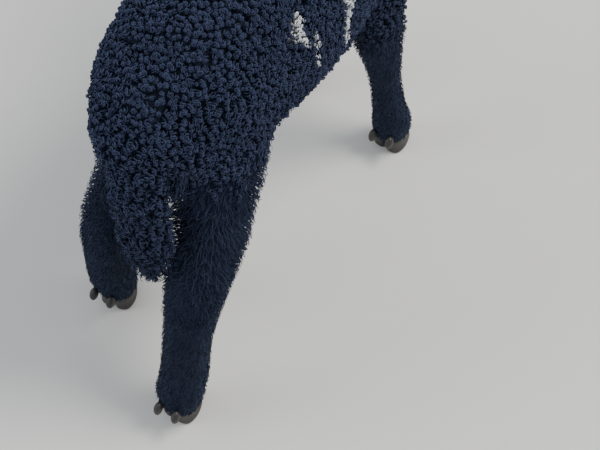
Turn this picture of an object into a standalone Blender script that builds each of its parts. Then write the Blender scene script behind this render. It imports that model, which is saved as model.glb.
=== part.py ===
"""A black country-sheep lamb standing mid-stride, life size, as a still museum model.

Metres, +Z up. The lamb faces -Y, its left side is at +X, and its soles stand on Z = 0.
Section tables are in millimetres and MM turns them into metres.
"""

import math
import random
from collections import namedtuple

import bmesh
import bpy
import numpy as np
from mathutils import Matrix, Vector
from mathutils.bvhtree import BVHTree

MM = 0.001
GAP = 0.3 * MM

# The many crossing faces of the fleece are beyond what the exact solver joins and cuts cleanly
FLEECE_SOLVER = "MANIFOLD"

# Coat: the fleece reaches its full depth above FULL_COAT and thins to short hair at BARE_LEG.
# The clumps of wool stand CLUMP_RISE out of a core, half the depth of the whole coat.
CLUMP_RISE = 12.0 * MM
FULL_COAT = 235 * MM
BARE_LEG = 165 * MM
# Rings of a clump: radius as a share of its width, height as a share of its rise, share of its lean
CLUMP_RINGS = ((0.52, -0.55, 0.0), (0.57, 0.05, 0.2), (0.40, 0.66, 0.8))
CLUMP_SIDES = 6
CLUMP_WIDTHS = (1.0, 1.12)
CLUMP_HEIGHTS = (0.86, 1.0)
CLUMP_LEAN = 0.14
# A clump is left out where another part of the skin faces it nearer than this
CLUMP_ROOM = 24 * MM
# Clumps are set until no bare spot is further than this share of their spacing from one,
# and then moved to the middles of their shares this many times over
CLOSEST = 0.82
EVENING_STEPS = 6
LEAST_SPACING = 18 * MM
# How many triangles each clump keeps, once the slivers where clumps cross are melted away
CLUMP_FACES = 30
CLUMP_SEED = 5
TRUNK_CLUMP = 38 * MM
LIMB_CLUMP = 31 * MM
TAIL_CLUMP = 22 * MM
TAIL_RISE = 7.0 * MM
TAIL_FULL_COAT = 24 * MM
TAIL_CLEARANCE = 2.5 * MM
HEAD_CLUMP = 21 * MM
HEAD_RISE = 6.0 * MM

# Body mesh
BODY_VOXEL = 3.5 * MM
BODY_TRIANGLES = 1600
HEAD_VOXEL = 1.6 * MM
HEAD_TRIANGLES = 2300

# Where one named part ends and the next begins
NECK_BASE = Vector((0, -184 * MM, 394 * MM))
NECK_AXIS = Vector((0, -0.62, 0.78))
HEAD_JOINT = Vector((0, -252 * MM, 500 * MM))
HEAD_TILT = math.radians(40)
TAIL_ROOT = Vector((0, 190 * MM, 384 * MM))
TAIL_AXIS = Vector((0, 0.85, -0.53))

# Feet: x and y of the middle of each foot, and how far the toes turn out
FEET = {
    "fore_left": (51 * MM, -166 * MM, math.radians(5)),
    "fore_right": (-74 * MM, -149 * MM, math.radians(-5)),
    "hind_left": (71 * MM, 153 * MM, math.radians(8)),
    "hind_right": (-50 * MM, 230 * MM, math.radians(-4)),
}
# How far each hock bows out, in millimetres
HOCK_OUT = {"hind_left": -5, "hind_right": 4}

# Hooves
CLAW_LENGTH = 37 * MM
CLAW_WIDTH = 15.5 * MM
CLAW_SPLIT = 2.4 * MM
# Height in millimetres, scale of the outline, and how far back it stands, from the sole up
CLAW_RINGS = ((0.0, 0.93, 0.0), (2.5, 1.0, 0.2), (14.0, 0.92, 2.6), (60.0, 0.66, 14.0))
CORONET_FRONT = 30 * MM
CORONET_SLOPE = math.radians(-18)
DEWCLAW_RADII = (4.2 * MM, 5.0 * MM, 7.5 * MM)
DEWCLAW_APART = 19 * MM
DEWCLAW_BACK = 31 * MM
DEWCLAW_HEIGHT = 35 * MM

# Horn buds
HORN_BUD_CENTRE = Vector((17 * MM, -16 * MM, 42 * MM))
HORN_BUD_RADII = (6.5 * MM, 7.0 * MM, 15 * MM)

# Eyes
EYE_RADIUS = 12.2 * MM
LID_THICKNESS = 2.0 * MM
EYE_CENTRE = Vector((31 * MM, -67 * MM, 11 * MM))
EYE_LOOK = Vector((0.93, -0.33, 0.13)).normalized()
EYE_OPENING = (21 * MM, 13 * MM)

# Ears
EAR_ROOT = Vector((35 * MM, -17 * MM, 24 * MM))
EAR_LENGTH = 88 * MM
EAR_DIRECTION = Vector((0.93, 0.30, -0.16)).normalized()
EAR_OPENING = Vector((0.10, -0.80, -0.58)).normalized()

# One cross-section of a limb or of the trunk: its middle, its half width across the body,
# its half depths towards the back (or front of a leg) and away from it, and how square it is
Section = namedtuple("Section", "x y z wide front back square", defaults=(2.0,))

TRUNK = [
    Section(2, 196, 380, 28, 22, 32),
    Section(2, 184, 368, 52, 48, 58, 2.1),
    Section(2, 150, 354, 73, 80, 84, 2.2),
    Section(3, 92, 345, 83, 100, 90, 2.3),
    Section(4, 35, 338, 90, 104, 100, 2.2),
    Section(4, -25, 332, 92, 106, 106, 2.2),
    Section(2, -85, 328, 86, 108, 108, 2.2),
    Section(0, -135, 328, 75, 108, 106, 2.2),
    Section(0, -180, 332, 62, 90, 92, 2.1),
    Section(0, -214, 336, 40, 56, 60),
]
NECK = [
    Section(0, -124, 350, 60, 72, 80),
    Section(0, -168, 382, 55, 66, 74),
    Section(0, -206, 424, 47, 54, 60),
    Section(0, -232, 463, 41, 46, 50),
    Section(0, -250, 493, 36, 37, 41),
    Section(0, -268, 522, 33, 34, 38),
]
THROAT_END = Section(0, -258, 504, 24, 22, 26)
TAIL = [
    Section(0, 150, 404, 24, 16, 16),
    Section(0, 180, 388, 27, 17, 17),
    Section(-3, 200, 362, 28, 18, 18),
    Section(-7, 211, 325, 28, 18, 18),
    Section(-10, 214, 280, 28, 17, 17),
    Section(-12, 214, 236, 27, 17, 17),
    Section(-11, 213, 200, 23, 14, 14),
    Section(-9, 212, 172, 13, 9, 9),
]
HEAD_TOP = [
    Section(0, 22, -10, 30, 34, 34),
    Section(0, 0, -2, 35, 40, 36),
    Section(0, -26, 3, 39, 42, 34, 2.2),
    Section(0, -54, 4, 40, 40, 32, 2.3),
    Section(0, -80, 1, 34, 38, 30, 2.3),
    Section(0, -104, -2, 27, 35, 26, 2.3),
    Section(0, -128, -4, 23, 29, 22, 2.3),
    Section(0, -146, -7, 21, 21, 17, 2.2),
    Section(0, -160, -9, 15, 12, 10, 2.0),
]
HEAD_JAW = [
    Section(0, -2, -24, 24, 24, 22),
    Section(0, -32, -30, 26, 22, 23),
    Section(0, -62, -29, 23, 18, 19),
    Section(0, -95, -25, 18, 13, 13),
    Section(0, -125, -22, 15, 10, 10),
    Section(0, -148, -20, 12, 8, 8),
]


# Rounded masses of the left half of the head, or on its middle line: name, middle and radii
HEAD_BULGES = [
    ("cheek", Vector((22, -40, -20)) * MM, Vector((14, 28, 24)) * MM),
    ("brow", Vector((30, -64, 15)) * MM, Vector((11, 19, 13)) * MM),
    ("lip", Vector((8, -147, -9)) * MM, Vector((14, 14, 12)) * MM),
    ("chin", Vector((0, -143, -24)) * MM, Vector((13, 15, 8.5)) * MM),
]


def foreleg(foot):
    """The sections of a foreleg, from the shoulder blade down to the coronet over this foot."""
    x, y = FEET[foot][0] / MM, FEET[foot][1] / MM
    side = math.copysign(1, x)
    swing = y + 150
    elbow = side * 57
    return [
        Section(side * 40, -104, 396, 20, 26, 26),
        Section(side * 50, -132, 348, 27, 38, 42),
        Section(side * 55, -138, 296, 30, 42, 50),
        Section(elbow, -124, 250, 29, 38, 46),
        Section(0.8 * elbow + 0.2 * x, -125 + 0.15 * swing, 206, 25, 30, 34),
        Section(0.65 * elbow + 0.35 * x, -132 + 0.45 * swing, 158, 20, 23, 24),
        Section(0.45 * elbow + 0.55 * x, -137 + 0.75 * swing, 108, 17, 18, 18),
        Section(0.15 * elbow + 0.85 * x, -140 + 0.95 * swing, 62, 19, 20, 21),
        Section(x, y + 7, 38, 22, 23, 24),
        Section(x, y + 2, 10, 15, 17, 18),
    ]


def hindleg(foot):
    """The sections of a hind leg, from the hip down to the coronet over this foot."""
    x, y = FEET[foot][0] / MM, FEET[foot][1] / MM
    side = math.copysign(1, x)
    swing = y - 170
    hip = side * 42
    bow = side * HOCK_OUT[foot]
    return [
        Section(side * 34, 118, 396, 24, 42, 40),
        Section(side * 40, 116, 350, 35, 62, 66),
        Section(hip, 122 + 0.04 * swing, 298, 37, 60, 66),
        Section(0.9 * hip + 0.1 * x + 0.4 * bow, 136 + 0.09 * swing, 252, 36, 56, 54),
        Section(0.7 * hip + 0.3 * x + 0.9 * bow, 158 + 0.15 * swing, 210, 33, 53, 40),
        Section(0.45 * hip + 0.55 * x + bow, 182 + 0.28 * swing, 172, 28.5, 43, 30),
        Section(0.2 * hip + 0.8 * x + 0.5 * bow, 184 + 0.56 * swing, 118, 23.5, 29, 25),
        Section(x, 178 + 0.82 * swing, 62, 24.5, 27, 25),
        Section(x, y + 9, 38, 25, 27, 21),
        Section(x, y + 3, 10, 15, 18, 17),
    ]


def clear_scene():
    for obj in list(bpy.data.objects):
        bpy.data.objects.remove(obj)


def material(name, colour, roughness):
    made = bpy.data.materials.new(name)
    made.use_nodes = True
    shader = made.node_tree.nodes["Principled BSDF"]
    shader.inputs["Base Color"].default_value = (*colour, 1)
    shader.inputs["Roughness"].default_value = roughness
    shader.inputs["Metallic"].default_value = 0.0
    return made


def new_object(name, bm):
    """A scene object holding this bmesh, triangulated, with its faces pointing out."""
    bmesh.ops.triangulate(bm, faces=bm.faces)
    bmesh.ops.recalc_face_normals(bm, faces=bm.faces)
    mesh = bpy.data.meshes.new(name)
    bm.to_mesh(mesh)
    bm.free()
    obj = bpy.data.objects.new(name, mesh)
    bpy.context.scene.collection.objects.link(obj)
    return obj


def remove(*objects):
    for obj in objects:
        bpy.data.objects.remove(obj)


def apply_modifiers(obj):
    """Makes what the modifiers give the object's own mesh."""
    bpy.context.view_layer.update()
    graph = bpy.context.evaluated_depsgraph_get()
    mesh = bpy.data.meshes.new_from_object(obj.evaluated_get(graph))
    obj.modifiers.clear()
    obj.data = mesh


def boolean(obj, other, operation, solver="EXACT"):
    """Joins, cuts or trims obj by other, an object or a collection, and removes other."""
    modifier = obj.modifiers.new("Boolean", "BOOLEAN")
    modifier.operation = operation
    modifier.solver = solver
    if isinstance(other, bpy.types.Collection):
        modifier.operand_type = "COLLECTION"
        modifier.collection = other
    else:
        modifier.object = other
    apply_modifiers(obj)
    if isinstance(other, bpy.types.Collection):
        remove(*other.objects)
        bpy.data.collections.remove(other)
    else:
        remove(other)


def copy_of(obj, name):
    made = obj.copy()
    made.data = obj.data.copy()
    made.name = name
    bpy.context.scene.collection.objects.link(made)
    return made


def keep_largest_surface(obj):
    """Drops every closed surface of the mesh but the one that holds the most volume."""
    bm = bmesh.new()
    bm.from_mesh(obj.data)
    bmesh.ops.triangulate(bm, faces=bm.faces)
    left = set(bm.faces)
    shells = []
    while left:
        stack, shell = [left.pop()], []
        while stack:
            face = stack.pop()
            shell.append(face)
            for edge in face.edges:
                for other in edge.link_faces:
                    if other in left:
                        left.discard(other)
                        stack.append(other)
        shells.append(shell)
    shells.sort(key=shell_volume)
    for shell in shells[:-1]:
        bmesh.ops.delete(bm, geom=shell, context="FACES")
    bm.to_mesh(obj.data)
    bm.free()


def shell_volume(faces):
    """Six times the volume inside a shell of triangles."""
    total = 0.0
    for face in faces:
        a, b, c = (v.co for v in face.verts)
        total += a.dot(b.cross(c))
    return abs(total)


def curve_through(rows, steps):
    """A smooth curve through the rows of numbers, with this many steps between two of them."""
    rows = np.array(rows, float)
    padded = np.vstack([2 * rows[0] - rows[1], rows, 2 * rows[-1] - rows[-2]])
    points = []
    for i in range(1, len(rows)):
        p0, p1, p2, p3 = padded[i - 1 : i + 3]
        for t in np.arange(steps) / steps:
            points.append(
                0.5
                * (
                    2 * p1
                    + (p2 - p0) * t
                    + (2 * p0 - 5 * p1 + 4 * p2 - p3) * t**2
                    + (3 * p1 - p0 - 3 * p2 + p3) * t**3
                )
            )
    points.append(rows[-1])
    return np.array(points)


def signed_power(value, power):
    return math.copysign(abs(value) ** power, value)


def fleece_rise(height):
    """How far the clumps stand out of the core at this height above the floor."""
    share = (height - BARE_LEG) / (FULL_COAT - BARE_LEG)
    return CLUMP_RISE * min(1.0, max(0.0, share))


def no_rise(height):
    return 0.0


def loft(name, sections, rise=no_rise, steps=5, sides=28):
    """A closed skin over the sections, drawn in all round by the rise of the fleece."""
    rows = curve_through(sections, steps)
    centres = [Vector(row[:3]) * MM for row in rows]
    first, last = centres[0], centres[-1]
    bm = bmesh.new()
    rings = []
    for i, (row, centre) in enumerate(zip(rows, centres)):
        ahead, behind = centres[min(i + 1, len(rows) - 1)], centres[max(i - 1, 0)]
        along = (ahead - behind).normalized()
        across = (Vector((1, 0, 0)) - along * along.x).normalized()
        front = along.cross(across)
        inset = rise(centre.z)
        wide, fore, back = (max(size * MM - inset, 2 * MM) for size in row[3:6])
        if centre is first:
            centre = centre + along * inset
        if centre is last:
            centre = centre - along * inset
        ring = []
        for k in range(sides):
            turn = 2 * math.pi * k / sides
            c = signed_power(math.cos(turn), 2 / row[6])
            s = signed_power(math.sin(turn), 2 / row[6])
            depth = fore if s > 0 else back
            ring.append(bm.verts.new(centre + across * (wide * c) + front * (depth * s)))
        rings.append(ring)
    for ring, after in zip(rings, rings[1:]):
        for k in range(sides):
            m = (k + 1) % sides
            bm.faces.new((ring[k], ring[m], after[m], after[k]))
    bm.faces.new(rings[0])
    bm.faces.new(rings[-1])
    return new_object(name, bm)


def ball(name, centre, radii, turn=None, levels=3):
    """An ellipsoid with these three radii, turned by a matrix if one is given."""
    bm = bmesh.new()
    bmesh.ops.create_icosphere(bm, subdivisions=levels, radius=1.0)
    shape = Matrix.Translation(centre) @ (turn or Matrix()) @ Matrix.Diagonal((*radii, 1))
    bmesh.ops.transform(bm, matrix=shape, verts=bm.verts)
    return new_object(name, bm)


def join(name, objects):
    """One object with the shapes of them all, still overlapping."""
    bm = bmesh.new()
    for obj in objects:
        bm.from_mesh(obj.data)
    remove(*objects)
    return new_object(name, bm)


def fuse(obj, voxel, smoothing, triangles):
    """Melts overlapping shapes into one smooth closed skin of about this many triangles."""
    remesh = obj.modifiers.new("Remesh", "REMESH")
    remesh.mode = "VOXEL"
    remesh.voxel_size = voxel
    smooth = obj.modifiers.new("Smooth", "SMOOTH")
    smooth.iterations = smoothing
    smooth.factor = 0.5
    apply_modifiers(obj)
    thin_out(obj, triangles)


def thin_out(obj, triangles):
    """Melts the smallest faces into their neighbours, down to about this many triangles."""
    obj.data.calc_loop_triangles()
    thin = obj.modifiers.new("Decimate", "DECIMATE")
    thin.ratio = min(1.0, triangles / len(obj.data.loop_triangles))
    apply_modifiers(obj)


def coat_spacing(point):
    """How far apart the clumps are set round this point of the body."""
    on_trunk = -150 * MM < point.y and point.z > 255 * MM
    return TRUNK_CLUMP if on_trunk else LIMB_CLUMP


def clump(name, place, normal, lie, wide, rise, draw):
    """A rounded tuft of wool: a low dome that leans along the lie, its root sunk in the core."""
    across = normal.cross(lie).normalized()
    along = across.cross(normal)
    turn = draw.uniform(0, math.pi)
    sides = CLUMP_SIDES
    lean = along * (CLUMP_LEAN * wide)
    bm = bmesh.new()
    rings = []
    for radius, height, shift in CLUMP_RINGS:
        ring = []
        for k in range(sides):
            angle = turn + 2 * math.pi * (k + 0.5 * len(rings)) / sides
            reach = wide * radius * draw.uniform(0.93, 1.07)
            flat = along * (1.08 * reach * math.cos(angle)) + across * (0.94 * reach * math.sin(angle))
            ring.append(bm.verts.new(place + flat + normal * (rise * height) + lean * shift))
        rings.append(ring)
    top = bm.verts.new(place + normal * rise + lean)
    for ring, after in zip(rings, rings[1:]):
        for k in range(sides):
            m = (k + 1) % sides
            bm.faces.new((ring[k], ring[m], after[k]))
            bm.faces.new((ring[m], after[m], after[k]))
    for k in range(sides):
        bm.faces.new((rings[-1][k], rings[-1][(k + 1) % sides], top))
    bm.faces.new(rings[0])
    return new_object(name, bm)


def spots_on(core, spacing, wanted, count, draw):
    """Random points on the core where wool grows, closer together where the clumps are smaller."""
    mesh = core.data
    mesh.calc_loop_triangles()
    corners = [[mesh.vertices[i].co for i in t.vertices] for t in mesh.loop_triangles]
    areas = [t.area for t in mesh.loop_triangles]
    spots = []
    for k in draw.choices(range(len(areas)), weights=areas, k=count):
        a, b, c = corners[k]
        u, v = draw.random(), draw.random()
        if u + v > 1:
            u, v = 1 - u, 1 - v
        place = a + (b - a) * u + (c - a) * v
        if wanted(place) and draw.random() < (LEAST_SPACING / spacing(place)) ** 2:
            spots.append(place)
    return np.array(spots)


def evenly_set(spots, spacing, draw):
    """A few of the spots, one for each clump, spread evenly and each in the middle of its share."""
    apart = np.array([spacing(Vector(p)) for p in spots])
    first = draw.randrange(len(spots))
    centres = [spots[first]]
    nearest = np.linalg.norm(spots - centres[0], axis=1)
    while (nearest / apart).max() > CLOSEST:
        centres.append(spots[(nearest / apart).argmax()])
        nearest = np.minimum(nearest, np.linalg.norm(spots - centres[-1], axis=1))
    centres = np.array(centres)
    for _ in range(EVENING_STEPS):
        owner = np.linalg.norm(spots[:, None] - centres[None], axis=2).argmin(axis=1)
        for k in range(len(centres)):
            own = spots[owner == k]
            if len(own):
                middle = own.mean(axis=0)
                centres[k] = own[np.linalg.norm(own - middle, axis=1).argmin()]
    return [Vector(c) for c in centres]


def add_clumps(core, spacing, rise, lie, wanted, count, kept=0.5):
    """Sets clumps of wool close together over the core and melts them into it.

    Kept is the share of the core's own faces that stay where the clumps leave it bare.
    """
    draw = random.Random(CLUMP_SEED)
    mesh = bmesh.new()
    mesh.from_mesh(core.data)
    tree = BVHTree.FromBMesh(mesh)
    mesh.free()
    spots = spots_on(core, spacing, wanted, count, draw)
    group = bpy.data.collections.new("clumps")
    for place in evenly_set(spots, spacing, draw):
        normal = smooth_normal(tree, place)
        wide = spacing(place) * draw.uniform(*CLUMP_WIDTHS)
        tall = rise(place) * draw.uniform(*CLUMP_HEIGHTS)
        if tree.ray_cast(place + normal * MM, normal, CLUMP_ROOM)[0] is not None:
            continue
        made = clump("clump", place, normal, lie(place), wide, tall, draw)
        bpy.context.scene.collection.objects.unlink(made)
        group.objects.link(made)
    clumps = len(group.objects)
    core.data.calc_loop_triangles()
    faces = len(core.data.loop_triangles)
    boolean(core, group, "UNION", FLEECE_SOLVER)
    keep_largest_surface(core)
    thin_out(core, kept * faces + clumps * CLUMP_FACES)


def smooth_normal(tree, place):
    """The mean direction of the core's skin for a little way round a place."""
    total = Vector()
    for _, normal, _, _ in tree.find_nearest_range(place, 12 * MM):
        total += normal
    return total.normalized()


def body_lie(place):
    """The wool lies backwards and down on the trunk, and down on the legs."""
    return Vector((0, 0.8, -0.6)) if place.z > FULL_COAT else Vector((0, 0.1, -1))


def body(triangles):
    """Trunk, neck and legs as one skin: a core that the clumps of wool stand out of."""
    shapes = [loft("trunk", TRUNK, fleece_rise), loft("neck", NECK, fleece_rise)]
    for foot in FEET:
        sections = foreleg(foot) if foot.startswith("fore") else hindleg(foot)
        shapes.append(loft(foot, sections, fleece_rise))
    whole = join("body", shapes)
    fuse(whole, BODY_VOXEL, 6, triangles)
    return whole


def add_body_clumps(whole):
    def rise(place):
        return fleece_rise(place.z)

    def wanted(place):
        below_head = (place - HEAD_JOINT).dot(head_axis()) < 12 * MM
        return below_head and rise(place) > 2 * MM and (place - TAIL_ROOT).length > 12 * MM

    add_clumps(whole, coat_spacing, rise, body_lie, wanted, 24000)


def head_matrix():
    """From the head's own frame, face along -Y, to its place on the neck."""
    return Matrix.Translation(HEAD_JOINT) @ Matrix.Rotation(HEAD_TILT, 4, "X")


def block(name, planes):
    """A closed block bounded by planes, each a point and a direction pointing out of it."""
    bm = bmesh.new()
    bmesh.ops.create_cube(bm, size=4.0)
    for point, out in planes:
        cut = bmesh.ops.bisect_plane(
            bm,
            geom=bm.verts[:] + bm.edges[:] + bm.faces[:],
            plane_co=point,
            plane_no=out,
            clear_outer=True,
        )
        edges = [e for e in cut["geom_cut"] if isinstance(e, bmesh.types.BMEdge)]
        bmesh.ops.contextual_create(bm, geom=edges)
    return new_object(name, bm)


def grown(planes, distance):
    """The same planes, moved outwards by a distance."""
    return [(point + out.normalized() * distance, out) for point, out in planes]


X, Y, Z = Vector((1, 0, 0)), Vector((0, 1, 0)), Vector((0, 0, 1))


def leg_planes(foot):
    """The planes round a whole leg, from where it leaves the trunk."""
    x = FEET[foot][0]
    out = X if x > 0 else -X
    if foot.startswith("fore"):
        top = (Vector((0, -135 * MM, 262 * MM)), Z)
        inner = [(out * 24 * MM, -out)]
        front, rear = -230 * MM, -70 * MM
    else:
        top = (Vector((0, 120 * MM, 318 * MM)), Vector((0, -0.35, 1)))
        groin = (out * 20 * MM + Z * 300 * MM, Z * 0.27 - out * 0.96)
        inner = [groin, (out * GAP, -out)]
        front, rear = 30 * MM, 330 * MM
    return [
        top,
        *inner,
        (Vector((0, front, 0)), -Y),
        (Vector((0, rear, 0)), Y),
    ]


def leg_joint(foot):
    """The plane across the leg between its upper and its lower part, pointing down."""
    if foot.startswith("fore"):
        sections = foreleg(foot)
    else:
        sections = hindleg(foot)
    above, here = sections[4], sections[5]
    point = (Vector(above[:3]) + Vector(here[:3])) * (0.5 * MM)
    return point, (Vector(here[:3]) - Vector(above[:3])).normalized()


def coronet(foot):
    """The sloping plane between a leg and its hooves, pointing down."""
    x, y, _ = FEET[foot]
    point = Vector((x, y - CLAW_LENGTH * 0.25, CORONET_FRONT))
    return point, Vector((0, math.sin(CORONET_SLOPE), -math.cos(CORONET_SLOPE)))


def neck_planes():
    return [(NECK_BASE, -NECK_AXIS), (HEAD_JOINT, head_axis())]


def head_axis():
    return (head_matrix().to_3x3() @ Vector((0, -0.35, 1))).normalized()


def cut_out(whole, name, planes):
    """The part of the whole that lies inside the planes, as its own object."""
    piece = copy_of(whole, name)
    boolean(piece, block("block", planes), "INTERSECT", FLEECE_SOLVER)
    keep_largest_surface(piece)
    return piece


def upper_leg_name(foot):
    end, side = foot.split("_")
    return f"{end}leg_{side}_upper"


def lower_leg_name(foot):
    return upper_leg_name(foot).replace("upper", "lower")


def build_body():
    """Trunk, neck and the upper and lower part of each leg, a thin gap apart."""
    whole = body(BODY_TRIANGLES)
    add_body_clumps(whole)
    boolean(whole, tail_room(), "DIFFERENCE", FLEECE_SOLVER)
    made = [cut_out(whole, "neck", neck_planes())]
    for foot in FEET:
        planes = leg_planes(foot)
        point, down = leg_joint(foot)
        sole_point, sole_down = coronet(foot)
        upper = planes + [(point, down)]
        lower = planes + [(point + down * GAP, -down), (sole_point - sole_down * GAP, sole_down)]
        made.append(cut_out(whole, upper_leg_name(foot), upper))
        made.append(cut_out(whole, lower_leg_name(foot), lower))
    for foot in FEET:
        boolean(whole, block("block", grown(leg_planes(foot), GAP)), "DIFFERENCE", FLEECE_SOLVER)
    above_neck = [(NECK_BASE - NECK_AXIS.normalized() * GAP, -NECK_AXIS)]
    boolean(whole, block("block", above_neck), "DIFFERENCE", FLEECE_SOLVER)
    keep_largest_surface(whole)
    whole.name = "torso"
    return made + [whole, build_tail()]


def tail_rise(height):
    """How far the clumps stand out of the tail: not at its root, where the rump's wool meets it."""
    share = (TAIL_ROOT.z - height) / TAIL_FULL_COAT
    return TAIL_RISE * min(1.0, max(0.0, share))


def tail_loft(name, rise):
    return loft(name, TAIL, rise, sides=12, steps=2)


def tail_room():
    """The room that the tail and its wool take up, with a thin gap round them."""
    room = tail_loft("tail_room", lambda height: -TAIL_CLEARANCE - GAP)
    root = TAIL_ROOT - TAIL_AXIS.normalized() * GAP
    boolean(room, block("block", [(root, -TAIL_AXIS)]), "INTERSECT")
    return room


def build_tail():
    tail = tail_loft("tail", tail_rise)
    add_clumps(
        tail,
        spacing=lambda place: TAIL_CLUMP,
        rise=lambda place: tail_rise(place.z),
        lie=lambda place: Vector((0, 0.2, -1)),
        wanted=lambda place: (place - TAIL_ROOT).dot(TAIL_AXIS) > 5 * MM,
        count=3000,
    )
    boolean(tail, block("block", [(TAIL_ROOT, -TAIL_AXIS)]), "INTERSECT", FLEECE_SOLVER)
    reach = tail_loft("reach", lambda height: -TAIL_CLEARANCE)
    boolean(tail, reach, "INTERSECT", FLEECE_SOLVER)
    keep_largest_surface(tail)
    return tail


def eye_frame():
    """The eye's own axes: across the opening, up it, and out of the eye."""
    out = EYE_LOOK
    across = Vector((0.30, 0.93, 0.16))
    across = (across - out * across.dot(out)).normalized()
    return across, out.cross(across), out


def almond(name, reach):
    """The opening between the lids, as a closed prism along the way the left eye looks."""
    across, up, out = eye_frame()
    half_wide, half_high = EYE_OPENING[0] / 2, EYE_OPENING[1] / 2
    steps = 8
    outline = []
    for k in range(2 * steps):
        turn = math.pi * k / steps
        height = half_high * signed_power(math.sin(turn), 1.25)
        outline.append(across * (half_wide * math.cos(turn)) + up * height)
    bm = bmesh.new()
    inner = [bm.verts.new(EYE_CENTRE + p + out * 1.5 * MM) for p in outline]
    outer = [bm.verts.new(EYE_CENTRE + p * 1.12 + out * reach) for p in outline]
    bm.faces.new(inner)
    bm.faces.new(outer)
    for k in range(len(outline)):
        m = (k + 1) % len(outline)
        bm.faces.new((inner[k], inner[m], outer[m], outer[k]))
    return new_object(name, bm)


def mirrored(obj, name):
    """A copy of the object on the other side of the body's middle plane."""
    bm = bmesh.new()
    bm.from_mesh(obj.data)
    bmesh.ops.transform(bm, matrix=Matrix.Diagonal((-1, 1, 1, 1)), verts=bm.verts)
    bmesh.ops.reverse_faces(bm, faces=bm.faces)
    return new_object(name, bm)


def muzzle_half_width(y):
    """Half the width of the muzzle at the mouth, at this distance along the face."""
    rows = curve_through(HEAD_TOP, 5)
    order = np.argsort(rows[:, 1])
    return float(np.interp(y / MM, rows[order, 1], rows[order, 3])) * MM


def mouth_cutter():
    """A thin curved blade along the line between the lips."""
    corner, tip = -104 * MM, -158 * MM
    steps = 10
    line = []
    for k in range(steps + 1):
        along = k / steps
        y = corner + (tip - corner) * math.sin(along * math.pi / 2)
        width = muzzle_half_width(y) * (1 - along**3) ** 0.5
        z = -19 * MM + 5.5 * MM * (1 - along) ** 2 - 1.5 * MM * math.sin(along * math.pi)
        line.append(Vector((width, y, z)))
    path = line + [Vector((-p.x, p.y, p.z)) for p in reversed(line[:-1])]
    middle = Vector((0, corner, -17 * MM))
    bm = bmesh.new()
    rings = []
    for i, point in enumerate(path):
        inward = (middle - point) * Vector((1, 1, 0))
        inward.normalize()
        share = math.sin(math.pi * (i + 0.35) / (len(path) - 0.3))
        outer = point - inward * 5 * MM
        inner = point + inward * (3.2 * MM * share + 0.8 * MM)
        half = Vector((0, 0, 0.55 * MM))
        blade = (outer - half * 2.2, inner - half * 0.6, inner + half * 0.6, outer + half * 2.2)
        rings.append([bm.verts.new(p) for p in blade])
    for ring, after in zip(rings, rings[1:]):
        for k in range(4):
            m = (k + 1) % 4
            bm.faces.new((ring[k], ring[m], after[m], after[k]))
    bm.faces.new(rings[0])
    bm.faces.new(rings[-1])
    return new_object("mouth", bm)


def nostril_cutter():
    """The left nostril: a slanting comma-shaped hollow."""
    turn = Matrix.Rotation(math.radians(38), 4, "Y") @ Matrix.Rotation(math.radians(20), 4, "Z")
    centre = Vector((9.5 * MM, -158 * MM, -3 * MM))
    return ball("nostril", centre, (2.4 * MM, 6.5 * MM, 5.2 * MM), turn, 2)


def build_head():
    """Skull, cheeks, brows and jaw melted together, with lids, mouth and nostrils."""
    shapes = [loft("skull", HEAD_TOP), loft("jaw", HEAD_JAW)]
    for name, centre, radii in HEAD_BULGES:
        shapes.append(ball(name, centre, radii))
        if centre.x > 0:
            shapes.append(ball(name, centre * Vector((-1, 1, 1)), radii))
    shapes.append(loft("throat", neck_in_head_frame(), lambda height: CLUMP_RISE - HEAD_RISE))
    head = join("head", shapes)
    fuse(head, HEAD_VOXEL, 5, HEAD_TRIANGLES)
    lid = ball("lid", EYE_CENTRE, [EYE_RADIUS + GAP + LID_THICKNESS] * 3)
    socket = ball("socket", EYE_CENTRE, [EYE_RADIUS + GAP] * 3)
    opening = almond("opening", 24 * MM)
    nostril = nostril_cutter()
    for piece in (lid, socket, opening, nostril):
        other = mirrored(piece, piece.name + "_right")
        operation = "UNION" if piece is lid else "DIFFERENCE"
        boolean(head, piece, operation)
        boolean(head, other, operation)
    boolean(head, mouth_cutter(), "DIFFERENCE")
    add_head_clumps(head)
    head.data.transform(head_matrix())
    front = block("block", [(HEAD_JOINT + head_axis() * GAP, -head_axis())])
    boolean(head, front, "INTERSECT", FLEECE_SOLVER)
    keep_largest_surface(head)
    return head


def add_head_clumps(head):
    """Wool on the poll, the forehead and the cheeks, clear of the eyes, ears and horn buds."""

    def wanted(place):
        other = Vector((abs(place.x), place.y, place.z))
        bare_face = place.y < (-78 * MM if place.z > 28 * MM else -46 * MM)
        near = (
            (other - EYE_CENTRE).length < 25 * MM
            or (other - EAR_ROOT).length < 21 * MM
            or (other - HORN_BUD_CENTRE).length < 17 * MM
        )
        return not bare_face and not near and place.y < 14 * MM

    add_clumps(
        head,
        spacing=lambda place: HEAD_CLUMP,
        rise=lambda place: HEAD_RISE,
        lie=lambda place: Vector((0, 0.6, -0.8)) if place.z < 25 * MM else Vector((0, -1, 0.1)),
        wanted=wanted,
        count=6000,
        kept=0.85,
    )


def neck_in_head_frame():
    """The upper end of the neck as sections in the head's own frame."""
    back = head_matrix().inverted()
    made = []
    for section in NECK[2:-1] + [THROAT_END]:
        middle = back @ (Vector(section[:3]) * MM)
        made.append(Section(*(middle / MM), *section[3:]))
    return made


def build_eyes():
    eye = ball("eye_left", EYE_CENTRE, [EYE_RADIUS] * 3, levels=2)
    other = mirrored(eye, "eye_right")
    for obj in (eye, other):
        obj.data.transform(head_matrix())
    return [eye, other]


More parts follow.
